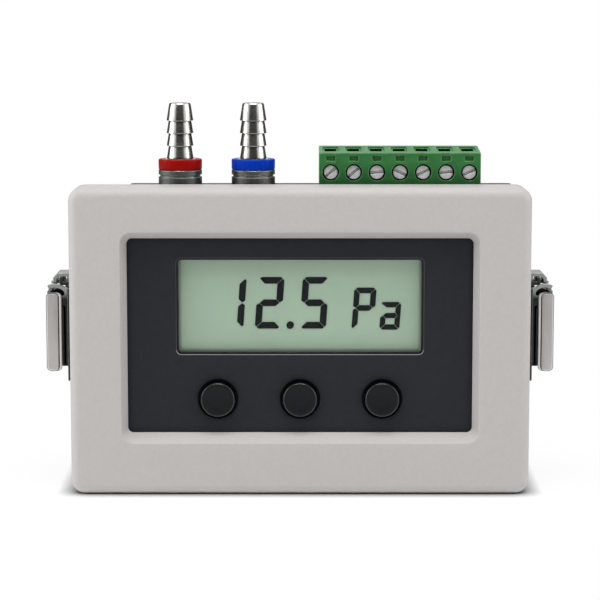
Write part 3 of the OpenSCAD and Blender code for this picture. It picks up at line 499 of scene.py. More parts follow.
# Painted shade: the display's face darkens in a soft band where the window's edge would shade it
def makeLcd(name, s):
    material, tree, shader = startMaterial(name)
    across, _, up = objectParts(tree)
    side = maths(tree, "SUBTRACT", s["halfWidth"] * mm, maths(tree, "ABSOLUTE", across))
    above = maths(tree, "SUBTRACT", up, (s["middle"] - s["halfHeight"]) * mm)
    below = maths(tree, "SUBTRACT", (s["middle"] + s["halfHeight"] + s["topEase"]) * mm, up)
    near = maths(tree, "MINIMUM", side, maths(tree, "MINIMUM", above, below))
    inside = node(tree, "ShaderNodeMapRange", {
        "Value": near, "From Min": 0.0, "From Max": s["fade"] * mm}).outputs[0]
    grain = placed(tree, grainGroup, Scale=s["grain"], Cloud_Scale=s["cloud"])
    face = blended(tree, grain.outputs["Cloud"], s["dark"], s["colour"])
    tree.links.new(blended(tree, inside, s["edge"], face), shader.inputs["Base Color"])
    smudged(tree, shader, s["rough"])
    bumped(tree, shader, grain.outputs["Height"], s["depth"])
    shader.inputs["Specular IOR Level"].default_value = s["gloss"]
    return material


paneSettings = {"colour": tint(10, 11, 10), "clear": 0.05, "rough": (0.03, 0.07), "marks": 140.0}


def makePane(name, s):
    material, tree, shader = startMaterial(name)
    smudged(tree, shader, s["rough"], Scale=s["marks"])
    shader.inputs["Base Color"].default_value = s["colour"]
    shader.inputs["Alpha"].default_value = s["clear"]
    return material


boardSettings = {
    "mask": tint(28, 92, 52), "track": tint(46, 124, 72), "pad": tint(188, 184, 150),
    "pitch": 420.0, "gap": 0.06, "run": (1.7, 0.6), "padPitch": 546.0, "scatter": 0.5,
    "padR": 0.16, "depth": 3e-5, "rough": (0.24, 0.34),
}


# Solder mask over copper tracks, with a scatter of tinned pads
def makeBoard(name, s):
    material, tree, shader = startMaterial(name)
    place = objectPlace(tree)
    tracks = node(tree, "ShaderNodeTexBrick", {
        "Vector": place, "Scale": s["pitch"], "Mortar Size": s["gap"],
        "Brick Width": s["run"][0], "Row Height": s["run"][1]}).outputs["Fac"]
    pads = node(tree, "ShaderNodeTexVoronoi", {
        "Vector": place, "Scale": s["padPitch"], "Randomness": s["scatter"]})
    isPad = maths(tree, "LESS_THAN", pads.outputs["Distance"], s["padR"])
    copper = blended(tree, tracks, s["mask"], s["track"])
    tree.links.new(blended(tree, isPad, copper, s["pad"]), shader.inputs["Base Color"])
    tree.links.new(isPad, shader.inputs["Metallic"])
    bumped(tree, shader, tracks, s["depth"])
    smudged(tree, shader, s["rough"])
    return material


siliconeSettings = {"colour": tint(222, 220, 210), "dark": tint(204, 202, 190),
                    "rough": (0.4, 0.5)}
guideSettings = {"colour": tint(226, 234, 226), "dark": tint(206, 218, 208),
                 "rough": (0.25, 0.35)}
softSettings = {"grain": 1800.0, "cloud": 200.0, "depth": 1e-5, "glow": 0.3,
                "glowRadius": (0.002, 0.002, 0.0018)}


# Milky plastic or rubber that light goes a little way into
def makeSoftClear(name, s, soft=softSettings):
    material, tree, shader = startMaterial(name)
    grain = placed(tree, grainGroup, Scale=soft["grain"], Cloud_Scale=soft["cloud"])
    tree.links.new(blended(tree, grain.outputs["Cloud"], s["dark"], s["colour"]),
                   shader.inputs["Base Color"])
    smudged(tree, shader, s["rough"])
    bumped(tree, shader, grain.outputs["Height"], soft["depth"])
    shader.inputs["Subsurface Weight"].default_value = soft["glow"]
    shader.inputs["Subsurface Radius"].default_value = soft["glowRadius"]
    shader.inputs["Subsurface Scale"].default_value = 1.0
    return material


zebraSettings = {"carbon": tint(48, 44, 46), "silicone": tint(214, 152, 160), "lines": 2600.0,
                 "rough": (0.55, 0.66)}


# Thin carbon layers between silicone ones
def makeZebra(name, s):
    material, tree, shader = startMaterial(name)
    bands = node(tree, "ShaderNodeTexWave", {"Vector": objectPlace(tree), "Scale": s["lines"]},
                 bands_direction="X")
    tree.links.new(blended(tree, bands.outputs["Fac"], s["carbon"], s["silicone"]),
                   shader.inputs["Base Color"])
    smudged(tree, shader, s["rough"])
    return material


materials = {name: makePlastic(name, s) for name, s in plastics.items()}
materials.update({name: makeMetal(name, s) for name, s in metals.items()})
for name, maker, settings in (
        ("lcd_face", makeLcd, lcdSettings), ("window_clear", makePane, paneSettings),
        ("circuit_board", makeBoard, boardSettings),
        ("tube_silicone", makeSoftClear, siliconeSettings),
        ("light_guide", makeSoftClear, guideSettings),
        ("zebra_silicone", makeZebra, zebraSettings)):
    materials[name] = maker(name, settings)
print("materials made:", len(materials))


# Mesh helpers

weldReach = 1e-7  # in m


# Each of fills holds the loops of vertex numbers round one flat face with holes
def finishMesh(name, verts, faces, finish, body, slot=None, smoothAngle=35.0, fills=()):
    mesh = bpy.data.meshes.new(name)
    mesh.from_pydata([tuple(v) for v in verts], [], faces)
    work = bmesh.new()
    work.from_mesh(mesh)
    work.verts.ensure_lookup_table()
    for loops in fills:
        edges = []
        for loop in loops:
            for i, j in zip(loop, loop[1:] + loop[:1]):
                ends = (work.verts[i], work.verts[j])
                edges.append(work.edges.get(ends) or work.edges.new(ends))
        bmesh.ops.triangle_fill(work, use_beauty=True, use_dissolve=False, edges=edges)
    bmesh.ops.remove_doubles(work, verts=work.verts, dist=weldReach)
    bmesh.ops.recalc_face_normals(work, faces=work.faces)
    work.to_mesh(mesh)
    work.free()
    return settle(newObject(name, mesh), finish, body, slot, smoothAngle)


def settle(piece, finish, body, slot, smoothAngle):
    mesh = piece.data
    mesh.polygons.foreach_set("use_smooth", [True] * len(mesh.polygons))
    mesh.set_sharp_from_angle(angle=math.radians(smoothAngle))
    mesh.materials.clear()
    mesh.materials.append(materials[finish])
    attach(piece, body)
    slot or finish
    return piece


# Faces between equal rings of points; a closed loft joins the last ring to the first
def loftFaces(ringCount, size, start=0, closed=False):
    faces = []
    for row in range(ringCount if closed else ringCount - 1):
        a, b = start + row * size, start + (row + 1) % ringCount * size
        for i in range(size):
            j = (i + 1) % size
            faces.append((a + i, a + j, b + j, b + i))
    return faces


# Flat faces over the first and the last ring of a loft
def endFaces(ringCount, size, start):
    last = start + (ringCount - 1) * size
    return [tuple(range(start, start + size)), tuple(range(last, last + size))]


# Rounds the corners of a profile, each given as (first, second, radius)
def filleted(profile, steps):
    straight = math.radians(179.5)
    points = []
    for index, corner in enumerate(profile):
        here = Vector(corner[:2])
        radius = corner[2] if len(corner) > 2 else 0
        before = (Vector(profile[max(index - 1, 0)][:2]) - here).normalized()
        after = (Vector(profile[min(index + 1, len(profile) - 1)][:2]) - here).normalized()
        between = math.acos(max(-1.0, min(1.0, before.dot(after))))
        if not radius or index in (0, len(profile) - 1) or between > straight:
            points.append(here)
            continue
        reach = radius / math.tan(between / 2)
        centre = here + (before + after).normalized() * (radius / math.sin(between / 2))
        first, last = here + before * reach - centre, here + after * reach - centre
        start = math.atan2(first.y, first.x)
        turn = math.atan2(first.x * last.y - first.y * last.x, first.dot(last))
        for step in range(steps + 1):
            angle = start + turn * step / steps
            points.append(centre + Vector((math.cos(angle), math.sin(angle))) * radius)
    return points


# Turns a profile of (radius, along) about an axis; place gives a point from x, y, along
def revolve(profile, place, segments, ripple=None):
    verts = []
    for radius, along in profile:
        for i in range(segments):
            angle = 2 * math.pi * i / segments
            r = radius - (ripple(angle, radius, along) if ripple else 0)
            verts.append(place(r * math.cos(angle), r * math.sin(angle), along))
    return verts, loftFaces(len(profile), segments)


# Adds a turned form to the points and faces of a mesh
def addTurned(verts, faces, profile, place, segments=32):
    more, sides = revolve(profile, place, segments)
    faces.extend([tuple(i + len(verts) for i in face) for face in sides])
    verts.extend(more)


leastCornerR = 0.02  # in mm


def roundedRing(width, height, radius, middle, depth, steps=10, across=0.0):
    radius = max(radius, leastCornerR)
    ring = []
    for corner, (sx, sz) in enumerate(((1, 1), (-1, 1), (-1, -1), (1, -1))):
        for step in range(steps + 1):
            angle = math.pi / 2 * (corner + step / steps)
            ring.append(at(across + sx * (width / 2 - radius) + radius * math.cos(angle), depth,
                           middle + sz * (height / 2 - radius) + radius * math.sin(angle)))
    return ring


# Front bezel: a lofted shell with a crowned outer edge and a sloped, filleted recess
bezelSettings = {
    "width": 100.0, "height": 67.1, "cornerR": 3.1, "depth": 10.0, "smoothAngle": 28.0,
    "frontR": 2.2, "frontSteps": 12, "partingR": 0.3, "partingShare": 0.3,
    "openWidth": 74.9, "openLow": 13.5, "openHigh": 55.85, "openR": 1.1,
    # widths of the slope at the sides, top and bottom, and what its corner gains
    "slopeSide": 1.4, "slopeTop": 1.6, "slopeBottom": 2.15, "slopeCorner": 1.4,
    "slopeDepth": 2.95, "rimR": 0.3, "rimFlat": 1.2, "lipR": 0.18,
    # how far the underside of the lip goes back out, and how much it falls
    "lipUnder": (0.8, 0.02),
    "cavityWidth": 95.6, "cavityLow": 2.2, "cavityHigh": 62.8, "cavityR": 1.0,
    "cavityDepth": 3.0,
    # the bosses are cut off at bossEndX from the middle and at the heights bossEnds
    "bossR": 3.0, "bossX": 45.2, "bossZ": (5.0, 60.0), "bossEndX": 47.9, "bossEnds": (2.1, 62.9),
}


def makeBezel(s):
    rings = []

    def outer(inset, depth):
        rings.append(roundedRing(s["width"] - 2 * inset, s["height"] - 2 * inset,
                                 s["cornerR"] - inset, s["height"] / 2, depth))

    # Share is 0 at the foot of the slope and 1 at its outer edge
    def opening(share, depth):
        low = s["openLow"] - s["slopeBottom"] * share
        high = s["openHigh"] + s["slopeTop"] * share
        rings.append(roundedRing(s["openWidth"] + 2 * s["slopeSide"] * share, high - low,
                                 s["openR"] + s["slopeCorner"] * share, (low + high) / 2, depth))

    outer(s["partingR"], s["depth"])
    parting = s["partingR"] * s["partingShare"]
    outer(parting, s["depth"] - parting)
    outer(0.0, s["depth"] - s["partingR"])
    for step in range(s["frontSteps"] + 1):
        angle = math.pi / 2 * step / s["frontSteps"]
        outer(s["frontR"] * (1 - math.cos(angle)), s["frontR"] * (1 - math.sin(angle)))
    wide, (under, fall) = s["slopeTop"], s["lipUnder"]
    slope = filleted([(wide + s["rimFlat"], 0), (wide, 0, s["rimR"]),
                      (0, s["slopeDepth"], s["lipR"]), (under, s["slopeDepth"] + fall)], steps=5)
    for out, depth in slope:
        opening(out / wide, depth)
    for depth in (s["cavityDepth"], s["depth"]):
        rings.append(roundedRing(s["cavityWidth"], s["cavityHigh"] - s["cavityLow"], s["cavityR"],
                                 (s["cavityLow"] + s["cavityHigh"]) / 2, depth))
    verts = [point for ring in rings for point in ring]
    faces = loftFaces(len(rings), len(rings[0]), closed=True)
    # Screw bosses in the corners
    length, (low, high) = s["depth"] - s["cavityDepth"], s["bossEnds"]
    boss = [(0.0, 0.0), (s["bossR"], 0.0), (s["bossR"], length), (0.0, length)]
    for x in (-s["bossX"], s["bossX"]):
        for z in s["bossZ"]:
            addTurned(verts, faces, boss, lambda u, v, along: at(
                max(-s["bossEndX"], min(s["bossEndX"], x + u)), s["cavityDepth"] + along,
                max(low, min(high, z + v))))
    piece = finishMesh("bezelShell", verts, faces, "case_abs", "root",
                       smoothAngle=s["smoothAngle"])
    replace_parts(piece, "front_bezel")


makeBezel(bezelSettings)
print("bezel made")

# Black rounded trim in the window and round the pane in front of the display, a painted shade of
# the shaded window wall, and a lip with a painted highlight
trimSettings = {
    "width": 53.0, "low": 30.88, "high": 51.25, "cornerR": 0.7, "steps": 6, "smoothAngle": 30.0,
    # each point as distance out from the window's edge, depth and corner radius
    "windowTrim": [(0.3, 3.3), (0.3, 2.985), (-0.04, 2.985, 0.2), (-0.04, 3.72),
                   (-0.08, 3.74, 0.02), (-0.08, 3.84), (0.3, 3.84)],
    "windowLip": [(0.5, 3.3), (0.5, 2.98), (0.29, 2.98), (0.29, 3.3)],
}


def makeTrim(name, s):
    height, middle = s["high"] - s["low"], (s["low"] + s["high"]) / 2
    rings = [roundedRing(s["width"] + 2 * out, height + 2 * out, s["cornerR"] + out, middle,
                         depth, steps=s["steps"])
             for out, depth in filleted(s[name], s["steps"])]
    verts = [point for ring in rings for point in ring]
    finishMesh(name, verts, loftFaces(len(rings), len(rings[0]), closed=True), name,
               "root", slot="panel_abs", smoothAngle=s["smoothAngle"])


for name in ("windowTrim", "windowLip"):
    makeTrim(name, trimSettings)
print("window trim made")

# Edges of the moulded and pressed pieces, as the width of the break in mm
brokenEdges = {
    "rear_housing": ("rearShell", 0.25), "face_panel": ("fasciaPanel", 0.05),
    "connector_plate": ("topPlate", 0.18), "terminal_header": ("headerBlock", 0.15),
    "terminal_plug": ("plugBlock", 0.12), "mounting_yoke": ("yokeStrap", 0.16),
    "latch_bases": ("latchBrackets", 0.12), "keepers": ("keeperHooks", 0.14),
    "latch_claw_left": ("clawLeft", 0.14), "latch_claw_right": ("clawRight", 0.14),
    "case_screws": ("caseScrews", 0.15), "lcd_frame": ("displayFrame", 0.15),
}
for number in range(1, 8):
    brokenEdges["clamp_screw_%d" % number] = ("clampScrew%d" % number, 0.09)
    brokenEdges["wire_cage_%d" % number] = ("wireCage%d" % number, 0.1)
otherFinish = {
    "keepers": "shadedKeeperSteel", "latch_claw_left": "clawSteel", "latch_claw_right": "clawSteel",
}
# the distance in m that makes two points one, and angles in degrees
breakSettings = {"weld": 2e-6, "flatAngle": 0.6, "edgeAngle": 32.0, "segments": 2,
                 "smoothAngle": 40.0}


# A copy of a node's solid with its sharp edges broken as on the real piece
def softened(name, source, width, finish, s):
    mesh = frame["nodes"][source].data.copy()
    mesh.name = name
    work = bmesh.new()
    work.from_mesh(mesh)
    bmesh.ops.remove_doubles(work, verts=work.verts, dist=s["weld"])
    bmesh.ops.dissolve_limit(work, angle_limit=math.radians(s["flatAngle"]), verts=work.verts,
                             edges=work.edges)
    work.to_mesh(mesh)
    work.free()
    piece = settle(newObject(name, mesh), finish, bodyOf[source], slotOf[source],
                   s["smoothAngle"])
    bevel = piece.modifiers.new("brokenEdges", "BEVEL")
    bevel.width, bevel.segments = width * mm, s["segments"]
    bevel.limit_method, bevel.angle_limit = "ANGLE", math.radians(s["edgeAngle"])
    bevel.harden_normals, bevel.use_clamp_overlap = True, False
    bevel.miter_outer = "MITER_ARC"
    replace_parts(piece, source)
    return piece


for source, (name, width) in brokenEdges.items():
    finish = otherFinish.get(source, slotOf[source])
    piece = softened(name, source, width, finish, breakSettings)
    if source == "mounting_yoke":
        # painted shade: the strap's forward faces in its front half get the dark keeper steel
        piece.data.materials.append(materials["shadedKeeperSteel"])
        for face in piece.data.polygons:
            looksForward = face.normal.y < -0.9
            face.material_index = int(looksForward and face.center.y < 0.0)
print("edges broken")

# Painted shade: dark linings in the terminal's holes, a sleeve round each screw head and a funnel
# in each wire entry
shadeLiningSettings = {
    "middle": 22.0, "pitch": 5.08, "poles": 7, "screwZ": 69.44, "outerR": 1.79, "innerR": 1.58,
    "front": 13.08, "back": 15.0, "sides": 40, "halfWidth": 1.27, "wall": 0.05,
    "topDepths": (16.24, 22.01), "topHeights": (73.5, 74.03),
    "lowDepths": (19.39, 22.14), "lowHeight": 71.05,
}


def makeShadeLinings(s):
    verts, faces = [], []
    length = s["back"] - s["front"]
    sleeve = [(s["outerR"], 0), (s["innerR"], 0), (s["innerR"], length), (s["outerR"], length),
              (s["outerR"], 0)]
    for number in range(s["poles"]):
        x = s["middle"] + (number - (s["poles"] - 1) / 2) * s["pitch"]
        addTurned(verts, faces, sleeve, lambda u, v, deep: at(
            x + u, s["front"] + deep, s["screwZ"] + v), s["sides"])
        first = len(verts)
        for inset, low in ((0, False), (0, True), (s["wall"], True), (s["wall"], False)):
            front, back = s["lowDepths"] if low else s["topDepths"]
            frontZ, backZ = (s["lowHeight"],) * 2 if low else s["topHeights"]
            half = s["halfWidth"] - inset
            verts += [at(x - half, front + inset, frontZ), at(x + half, front + inset, frontZ),
                      at(x + half, back - inset, backZ), at(x - half, back - inset, backZ)]
        faces += loftFaces(4, 4, first, closed=True)
    finishMesh("terminalShadeLinings", verts, faces, "paintedShadeBlack", bodyOf["terminal_plug"],
               slot="plug_green")


makeShadeLinings(shadeLiningSettings)
print("terminal linings made")

# Hose fittings: turned in one piece, with crisp barbs whose corners are just broken
fittingSettings = {
    "xs": {"positive": -26.475, "negative": -10.325}, "depth": 16.0,
    "sides": 96, "boreSides": 48, "smoothAngle": 12.0,
    # radius, height, corner radius, from the inner barb up, over the tip and down the bore
    "profile": [
        (0.9, 54.0), (1.7, 54.0, 0.1), (2.1, 56.8, 0.08), (1.7, 56.8, 0.08), (1.7, 59.6, 0.2),
        (3.3, 59.6, 0.15), (3.3, 66.5, 0.05), (4.8, 66.5, 0.15), (4.8, 68.34, 0.1),
        (4.45, 68.37, 0.06), (4.45, 68.81, 0.06), (4.8, 68.84, 0.1), (4.8, 69.85, 0.14),
        (3.5, 69.85, 0.05), (3.5, 72.29, 0.12), (2.5, 72.3, 0.06), (2.5, 72.37)],
    # barb as radius, rise from the step under it and corner radius; neck as both radii
    "barbBase": 72.37, "barbLength": 2.77, "barbs": 3,
    "barb": (2.95, 0.02, 0.07), "neck": (2.5, 0.06),
    "tip": [(2.95, 80.7, 0.07), (2.4, 84.23, 0.2), (2.22, 84.58, 0.08), (2.0, 84.58, 0.04),
            (1.4, 84.05, 0.1), (1.4, 69.85, 0.2), (0.9, 66.5)],
    "collar": (66.4, 69.8),  # heights between which the finish is duller
    # painted shade: dark lining of the bore and of its countersink, as radius and height
    "bore": [(1.39, 76.0), (1.39, 84.0), (1.97, 84.52), (1.88, 84.52), (1.3, 83.95), (1.3, 76.0),
             (1.39, 76.0)],
}


def makeFitting(side, s):
    def place(u, v, up):
        return at(s["xs"][side] + u, s["depth"] + v, up)

    profile = list(s["profile"])
    (barbR, rise, barbEdge), (neckR, neckEdge) = s["barb"], s["neck"]
    for count in range(s["barbs"]):
        low = s["barbBase"] + count * s["barbLength"]
        profile += [(barbR, low + rise, barbEdge), (neckR, low + s["barbLength"], neckEdge)]
    points = filleted(profile + s["tip"], steps=3)
    verts, faces = revolve(points + points[:1], place, s["sides"])
    piece = finishMesh("hoseFitting." + side, verts, faces, "fitting_nickel", "root",
                       smoothAngle=s["smoothAngle"])
    piece.data.materials.append(materials["collarNickel"])
    low, high = s["collar"]
    for face in piece.data.polygons:
        face.material_index = int(low * mm < face.center.z < high * mm)
    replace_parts(piece, "fitting_" + side)
    verts, faces = revolve(s["bore"], place, s["boreSides"])
    finishMesh("boreShadeLining." + side, verts, faces, "paintedShadeBlack", "root", slot="fitting_nickel")


for side in fittingSettings["xs"]:
    makeFitting(side, fittingSettings)
print("fittings made")

# Coloured rings: rounded edges and shallow grip notches round the outside
ringSettings = {
    "finish": {"positive": "ring_red", "negative": "ring_blue"}, "base": 69.87, "height": 2.42,
    "outerR": 4.8, "innerR": 3.53, "edgeR": 0.34, "innerEdgeR": 0.1, "seam": 0.3,
    "sides": 288, "smoothAngle": 50.0,
    # the notches start at notchFrom over the base and reach their depth within notchEase
    "notches": 24, "notchDepth": 0.08, "notchWidth": 0.16, "notchFrom": 0.2, "notchEase": 0.5,
    "notchTop": 0.1,
}


def makeRing(side, s):
    low, high = s["base"], s["base"] + s["height"]
    profile = filleted([(s["innerR"], low), (s["outerR"], low, s["edgeR"]),
                        (s["outerR"], high, s["edgeR"]), (s["innerR"], high, s["innerEdgeR"]),
                        (s["innerR"], low + s["seam"])], steps=5)

    def notch(angle, radius, up):
        if radius < s["outerR"] - s["edgeR"] * 0.9 or up < low + s["notchFrom"]:
            return 0.0
        step = 2 * math.pi / s["notches"]
        away = abs((angle + step / 2) % step - step / 2) * s["outerR"]
        fade = 1.0
        if up < high - s["notchTop"]:
            fade = min(1.0, max(0.0, (up - low - s["notchFrom"]) / s["notchEase"]))
        return s["notchDepth"] * fade * max(0.0, 1 - (away / s["notchWidth"]) ** 2)

    x, depth = fittingSettings["xs"][side], fittingSettings["depth"]
    verts, faces = revolve(profile + [(s["innerR"], low)],
                           lambda u, v, up: at(x + u, depth + v, up), s["sides"], notch)
    piece = finishMesh("portRing." + side, verts, faces, s["finish"][side], "root",
                       smoothAngle=s["smoothAngle"])
    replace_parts(piece, "ring_" + side)


for side in ringSettings["finish"]:
    makeRing(side, ringSettings)
print("rings made")

# Push buttons: a cap with a shallow dish, its flange and its tail
buttonSettings = {
    "places": {"left": -17.9, "centre": 0.0, "right": 17.9}, "height": 20.7, "sides": 96,
    "smoothAngle": 40.0,
    # radius, depth behind the face, corner radius
    "profile": [(0.0, 1.34), (1.5, 1.33, 3.0), (2.9, 1.21, 1.0), (3.73, 1.2, 0.3),
                (3.73, 6.45, 0.1), (4.73, 6.45, 0.1), (4.73, 7.25, 0.1), (2.4, 7.25, 0.1),
                (2.4, 7.37, 0.05), (0.0, 7.37)],
    # the glossier rounded edge lies outside this radius and in front of this depth
    "edgeFrom": 3.4, "edgeTo": 1.52,
}


def makeButton(side, s):
    x, z = s["places"][side], s["height"]
    verts, faces = revolve(filleted(s["profile"], steps=5),
                           lambda u, v, deep: at(x + u, deep, z + v), s["sides"])
    piece = finishMesh("pushButton." + side, verts, faces, "button_black", "button_" + side,
                       smoothAngle=s["smoothAngle"])
    piece.data.materials.append(materials["buttonEdge"])
    edgeY = at(0, s["edgeTo"], 0)[1]
    for face in piece.data.polygons:
        out = math.hypot(face.center.x - x * mm, face.center.z - z * mm)
        face.material_index = int(out > s["edgeFrom"] * mm and face.center.y < edgeY)
    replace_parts(piece, "button_" + side)


for side in buttonSettings["places"]:
    makeButton(side, buttonSettings)
print("buttons made")

# Lever of a latch: a pressed channel whose flanges close over the ends of its rivets and pin
leverSettings = {
    # distances across are from the ear's outer face
    "ear": 51.4, "inner": 1.35, "outer": 4.75, "low": 25.4, "high": 42.9, "endR": 1.0,
    "front": 11.5, "back": 22.0, "sheet": 0.8, "sheetEdge": 0.06, "smoothAngle": 30.0,
    "webLow": 26.4, "webHigh": 37.3, "webR": 0.2,
    # the flange's face ends in a rim with a painted highlight, and a broken edge
    "edgeR": 0.15, "rimWidth": 0.2, "rimDrop": 0.03,
    # the folded strip along the bend lies a step lower, with a round outer edge
    "bend": 0.68, "step": 0.3, "stepFoot": 0.14, "stepEase": 0.02, "foldR": 0.25,
    "rivet": (2.9, 41.2), "pin": (2.8, 38.7), "holeR": 0.63, "cover": 0.14, "play": 0.03,
    "rodR": 0.6, "rodEdge": 0.05, "rivetLength": 1.8, "sides": 32,
}


# Rings of a flange, as inset at the bend, inset elsewhere and depth under the face
def flangeSteps(s):
    edge, step, fold, bend = s["edgeR"], s["step"], s["foldR"], s["bend"]
    foot, ease, corner = s["stepFoot"], s["stepEase"], s["sheetEdge"]
    steps = [(bend + edge, s["rimWidth"] + edge, 0.0), (bend + edge * 0.7, edge, s["rimDrop"]),
             (bend + edge * 0.3, edge * 0.3, edge * 0.4), (bend, 0.0, edge),
             (bend - foot + ease, 0.0, step - ease), (bend - foot, 0.0, step)]
    for turn in range(5):
        angle = math.pi / 8 * turn
        steps.append((fold * (1 - math.sin(angle)), 0.0, step + fold * (1 - math.cos(angle))))
    return steps + [(0.0, 0.0, s["sheet"] - corner), (corner, corner, s["sheet"])]


def makeLever(side, name, s):
    verts, faces, fills = [], [], []
    sign = -1 if side == "left" else 1
    width, height = s["outer"] - s["inner"], s["high"] - s["low"]
    middle, centre = (s["low"] + s["high"]) / 2, sign * (s["ear"] + (s["inner"] + s["outer"]) / 2)
    for start, inward in ((s["front"], 1), (s["back"], -1)):
        rings = [roundedRing(width - inner - outer, height - 2 * outer, s["endR"] - outer, middle,
                             start + inward * deep, steps=6,
                             across=centre + sign * (inner - outer) / 2)
                 for inner, outer, deep in flangeSteps(s)]
        size, first = len(rings[0]), len(verts)
        faces.append(tuple(range(first, first + size)))
        faces += loftFaces(len(rings), size, first)
        loops = [list(range(first + (len(rings) - 1) * size, first + len(rings) * size))]
        verts += [point for ring in rings for point in ring]
        for out, up in (s["rivet"], s["pin"]):
            first = len(verts)
            addTurned(verts, faces, [(s["holeR"], s["sheet"]), (s["holeR"], s["cover"])],
                      lambda u, v, deep: at(sign * (s["ear"] + out) + u, start + inward * deep,
                                            up + v), s["sides"])
            loop, floor = endFaces(2, s["sides"], first)
            faces.append(floor)
            loops.append(list(loop))
        fills.append(loops)
    first = len(verts)
    for depth in (s["front"] + s["sheet"], s["back"] - s["sheet"]):
        verts += roundedRing(s["sheet"], s["webHigh"] - s["webLow"], s["webR"],
                             (s["webLow"] + s["webHigh"]) / 2, depth, steps=4,
                             across=sign * (s["ear"] + s["outer"] - s["sheet"] / 2))
    size = (len(verts) - first) // 2
    faces += loftFaces(2, size, first) + endFaces(2, size, first)
    source = "latch_lever_" + side
    piece = finishMesh(name, verts, faces, "latch_steel", bodyOf[source],
                       smoothAngle=s["smoothAngle"], fills=fills)
    # Painted highlight and shade: the folded strip and the rim get a brighter steel, and the step
    # and the broken edge a darker one
    piece.data.materials.append(materials["leverHighlightSteel"])
    piece.data.materials.append(materials["shadedKeeperSteel"])
    near = 0.01  # in mm
    foldEnd, step = s["ear"] + s["inner"] + s["bend"] + near, s["step"]
    for face in piece.data.polygons:
        deep = face.center.y / mm + caseDepth / 2 - s["front"]
        fold = abs(face.center.x) / mm < foldEnd
        if (fold and step - near < deep < step + s["foldR"]) or 0.0 < deep < s["rimDrop"]:
            face.material_index = 1
        elif (fold and s["edgeR"] < deep < step) or s["rimDrop"] < deep < s["edgeR"]:
            face.material_index = 2
    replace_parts(piece, source)


# Rods given as side, place from the ear with its height, first and last depth
def makeRods(name, rods, source, s):
    verts, faces = [], []
    radius, edge = s["rodR"], s["rodEdge"]
    for sign, (out, height), front, back in rods:
        length = back - front
        profile = [(0.0, 0.0), (radius - edge, 0.0), (radius, edge), (radius, length - edge),
                   (radius - edge, length), (0.0, length)]
        addTurned(verts, faces, profile, lambda u, v, deep: at(
            sign * (s["ear"] + out) + u, front + deep, height + v), s["sides"])
    piece = finishMesh(name, verts, faces, slotOf[source], bodyOf[source])
    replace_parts(piece, source)


def makeLatches(s):
    front, back = s["front"] + s["cover"] + s["play"], s["back"] - s["cover"] - s["play"]
    rivets = []
    for side, sign, name in (("left", -1, "Left"), ("right", 1, "Right")):
        makeLever(side, "lever" + name, s)
        makeRods("clawPin" + name, [(sign, s["pin"], front, back)], "claw_pin_" + side, s)
        rivets += [(sign, s["rivet"], front, s["front"] + s["rivetLength"]),
                   (sign, s["rivet"], s["back"] - s["rivetLength"], back)]
    makeRods("leverRivets", rivets, "lever_rivets", s)


makeLatches(leverSettings)

# Side walls of the latch bases, which stand between the lever's flanges
wallSettings = {
    "ear": 51.4, "from": 0.4, "to": 1.52, "low": 26.4, "high": 40.0, "cornerR": 0.35,
    "edge": 0.1, "depths": ((12.5, 13.3), (20.2, 21.0)),
}


def makeWalls(s):
    verts, faces = [], []
    width, height, edge = s["to"] - s["from"], s["high"] - s["low"], s["edge"]
    for sign in (-1, 1):
        centre = sign * (s["ear"] + (s["from"] + s["to"]) / 2)
        for front, back in s["depths"]:
            first = len(verts)
            for inset, depth in ((edge, front), (0, front + edge), (0, back - edge), (edge, back)):
                verts += roundedRing(width - 2 * inset, height - 2 * inset, s["cornerR"] - inset,
                                     (s["low"] + s["high"]) / 2, depth, steps=4,
                                     across=centre)
            size = (len(verts) - first) // 4
            faces += loftFaces(4, size, first) + endFaces(4, size, first)
    finishMesh("latchWalls", verts, faces, "latch_base_steel", "root")


makeWalls(wallSettings)
print("levers made")

# Keepers' rivets, with a low domed head outside and a flat one inside
rivetSettings = {
    "height": 48.55, "depths": (14.25, 19.25), "shankR": 0.9, "inside": 47.1, "plateFace": 50.8,
    "headR": 1.55, "headHeight": 0.2, "headSteps": 6, "seat": 0.04,
    "innerR": 1.8, "innerHeight": 0.7,
}


def makeKeeperRivets(s):
    verts, faces = [], []
    seat, length = s["seat"], s["plateFace"] - s["inside"]
    outer = [(0.0, -s["headHeight"])]
    for step in range(1, s["headSteps"] + 1):
        angle = math.pi / 2 * (1 - step / s["headSteps"])
        outer.append((s["headR"] * math.cos(angle), -s["headHeight"] * math.sin(angle)))
    outer += [(s["headR"], seat), (s["shankR"], seat), (s["shankR"], length), (0.0, length)]
    inner = [(0.0, 0.0), (s["innerR"], 0.0), (s["innerR"], s["innerHeight"]),
             (0.0, s["innerHeight"])]
    for side in (-1, 1):
        for depth in s["depths"]:
            for profile, start, turn in ((outer, s["plateFace"], -1), (inner, s["inside"], 1)):
                addTurned(verts, faces, profile, lambda u, v, along: at(
                    side * (start + turn * along), depth + u, s["height"] + v))
    piece = finishMesh("keeperRivets", verts, faces, "latch_steel", "root")
    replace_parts(piece, "keeper_rivets")


makeKeeperRivets(rivetSettings)
print("rivets made")

# Figures on the display: flat segments just in front of its glass
figureSettings = {
    "front": 4.9, "back": 4.99, "slant": 0.072, "gap": 0.075, "corner": 0.46,
    # lower left x, base z, width, height, stroke and the segments that are on
    "digits": [(-18.0, 35.94, 5.62, 11.32, 1.46, "bc"), (-9.9, 35.94, 5.74, 11.32, 1.46, "abged"),
               (-0.17, 35.94, 5.8, 11.32, 1.46, "afgcd"),
               (11.22, 35.98, 4.85, 8.96, 1.24, "abefg")],
    "small": (17.3, 35.69, 4.36, 6.08, 1.16), "smallMiddle": 0.51,
    "point": (-2.14, 36.69, 0.83), "pointSides": 32,
    "tail": (3, "e", 0.34),  # which digit's segment ends lower, and by how much
}


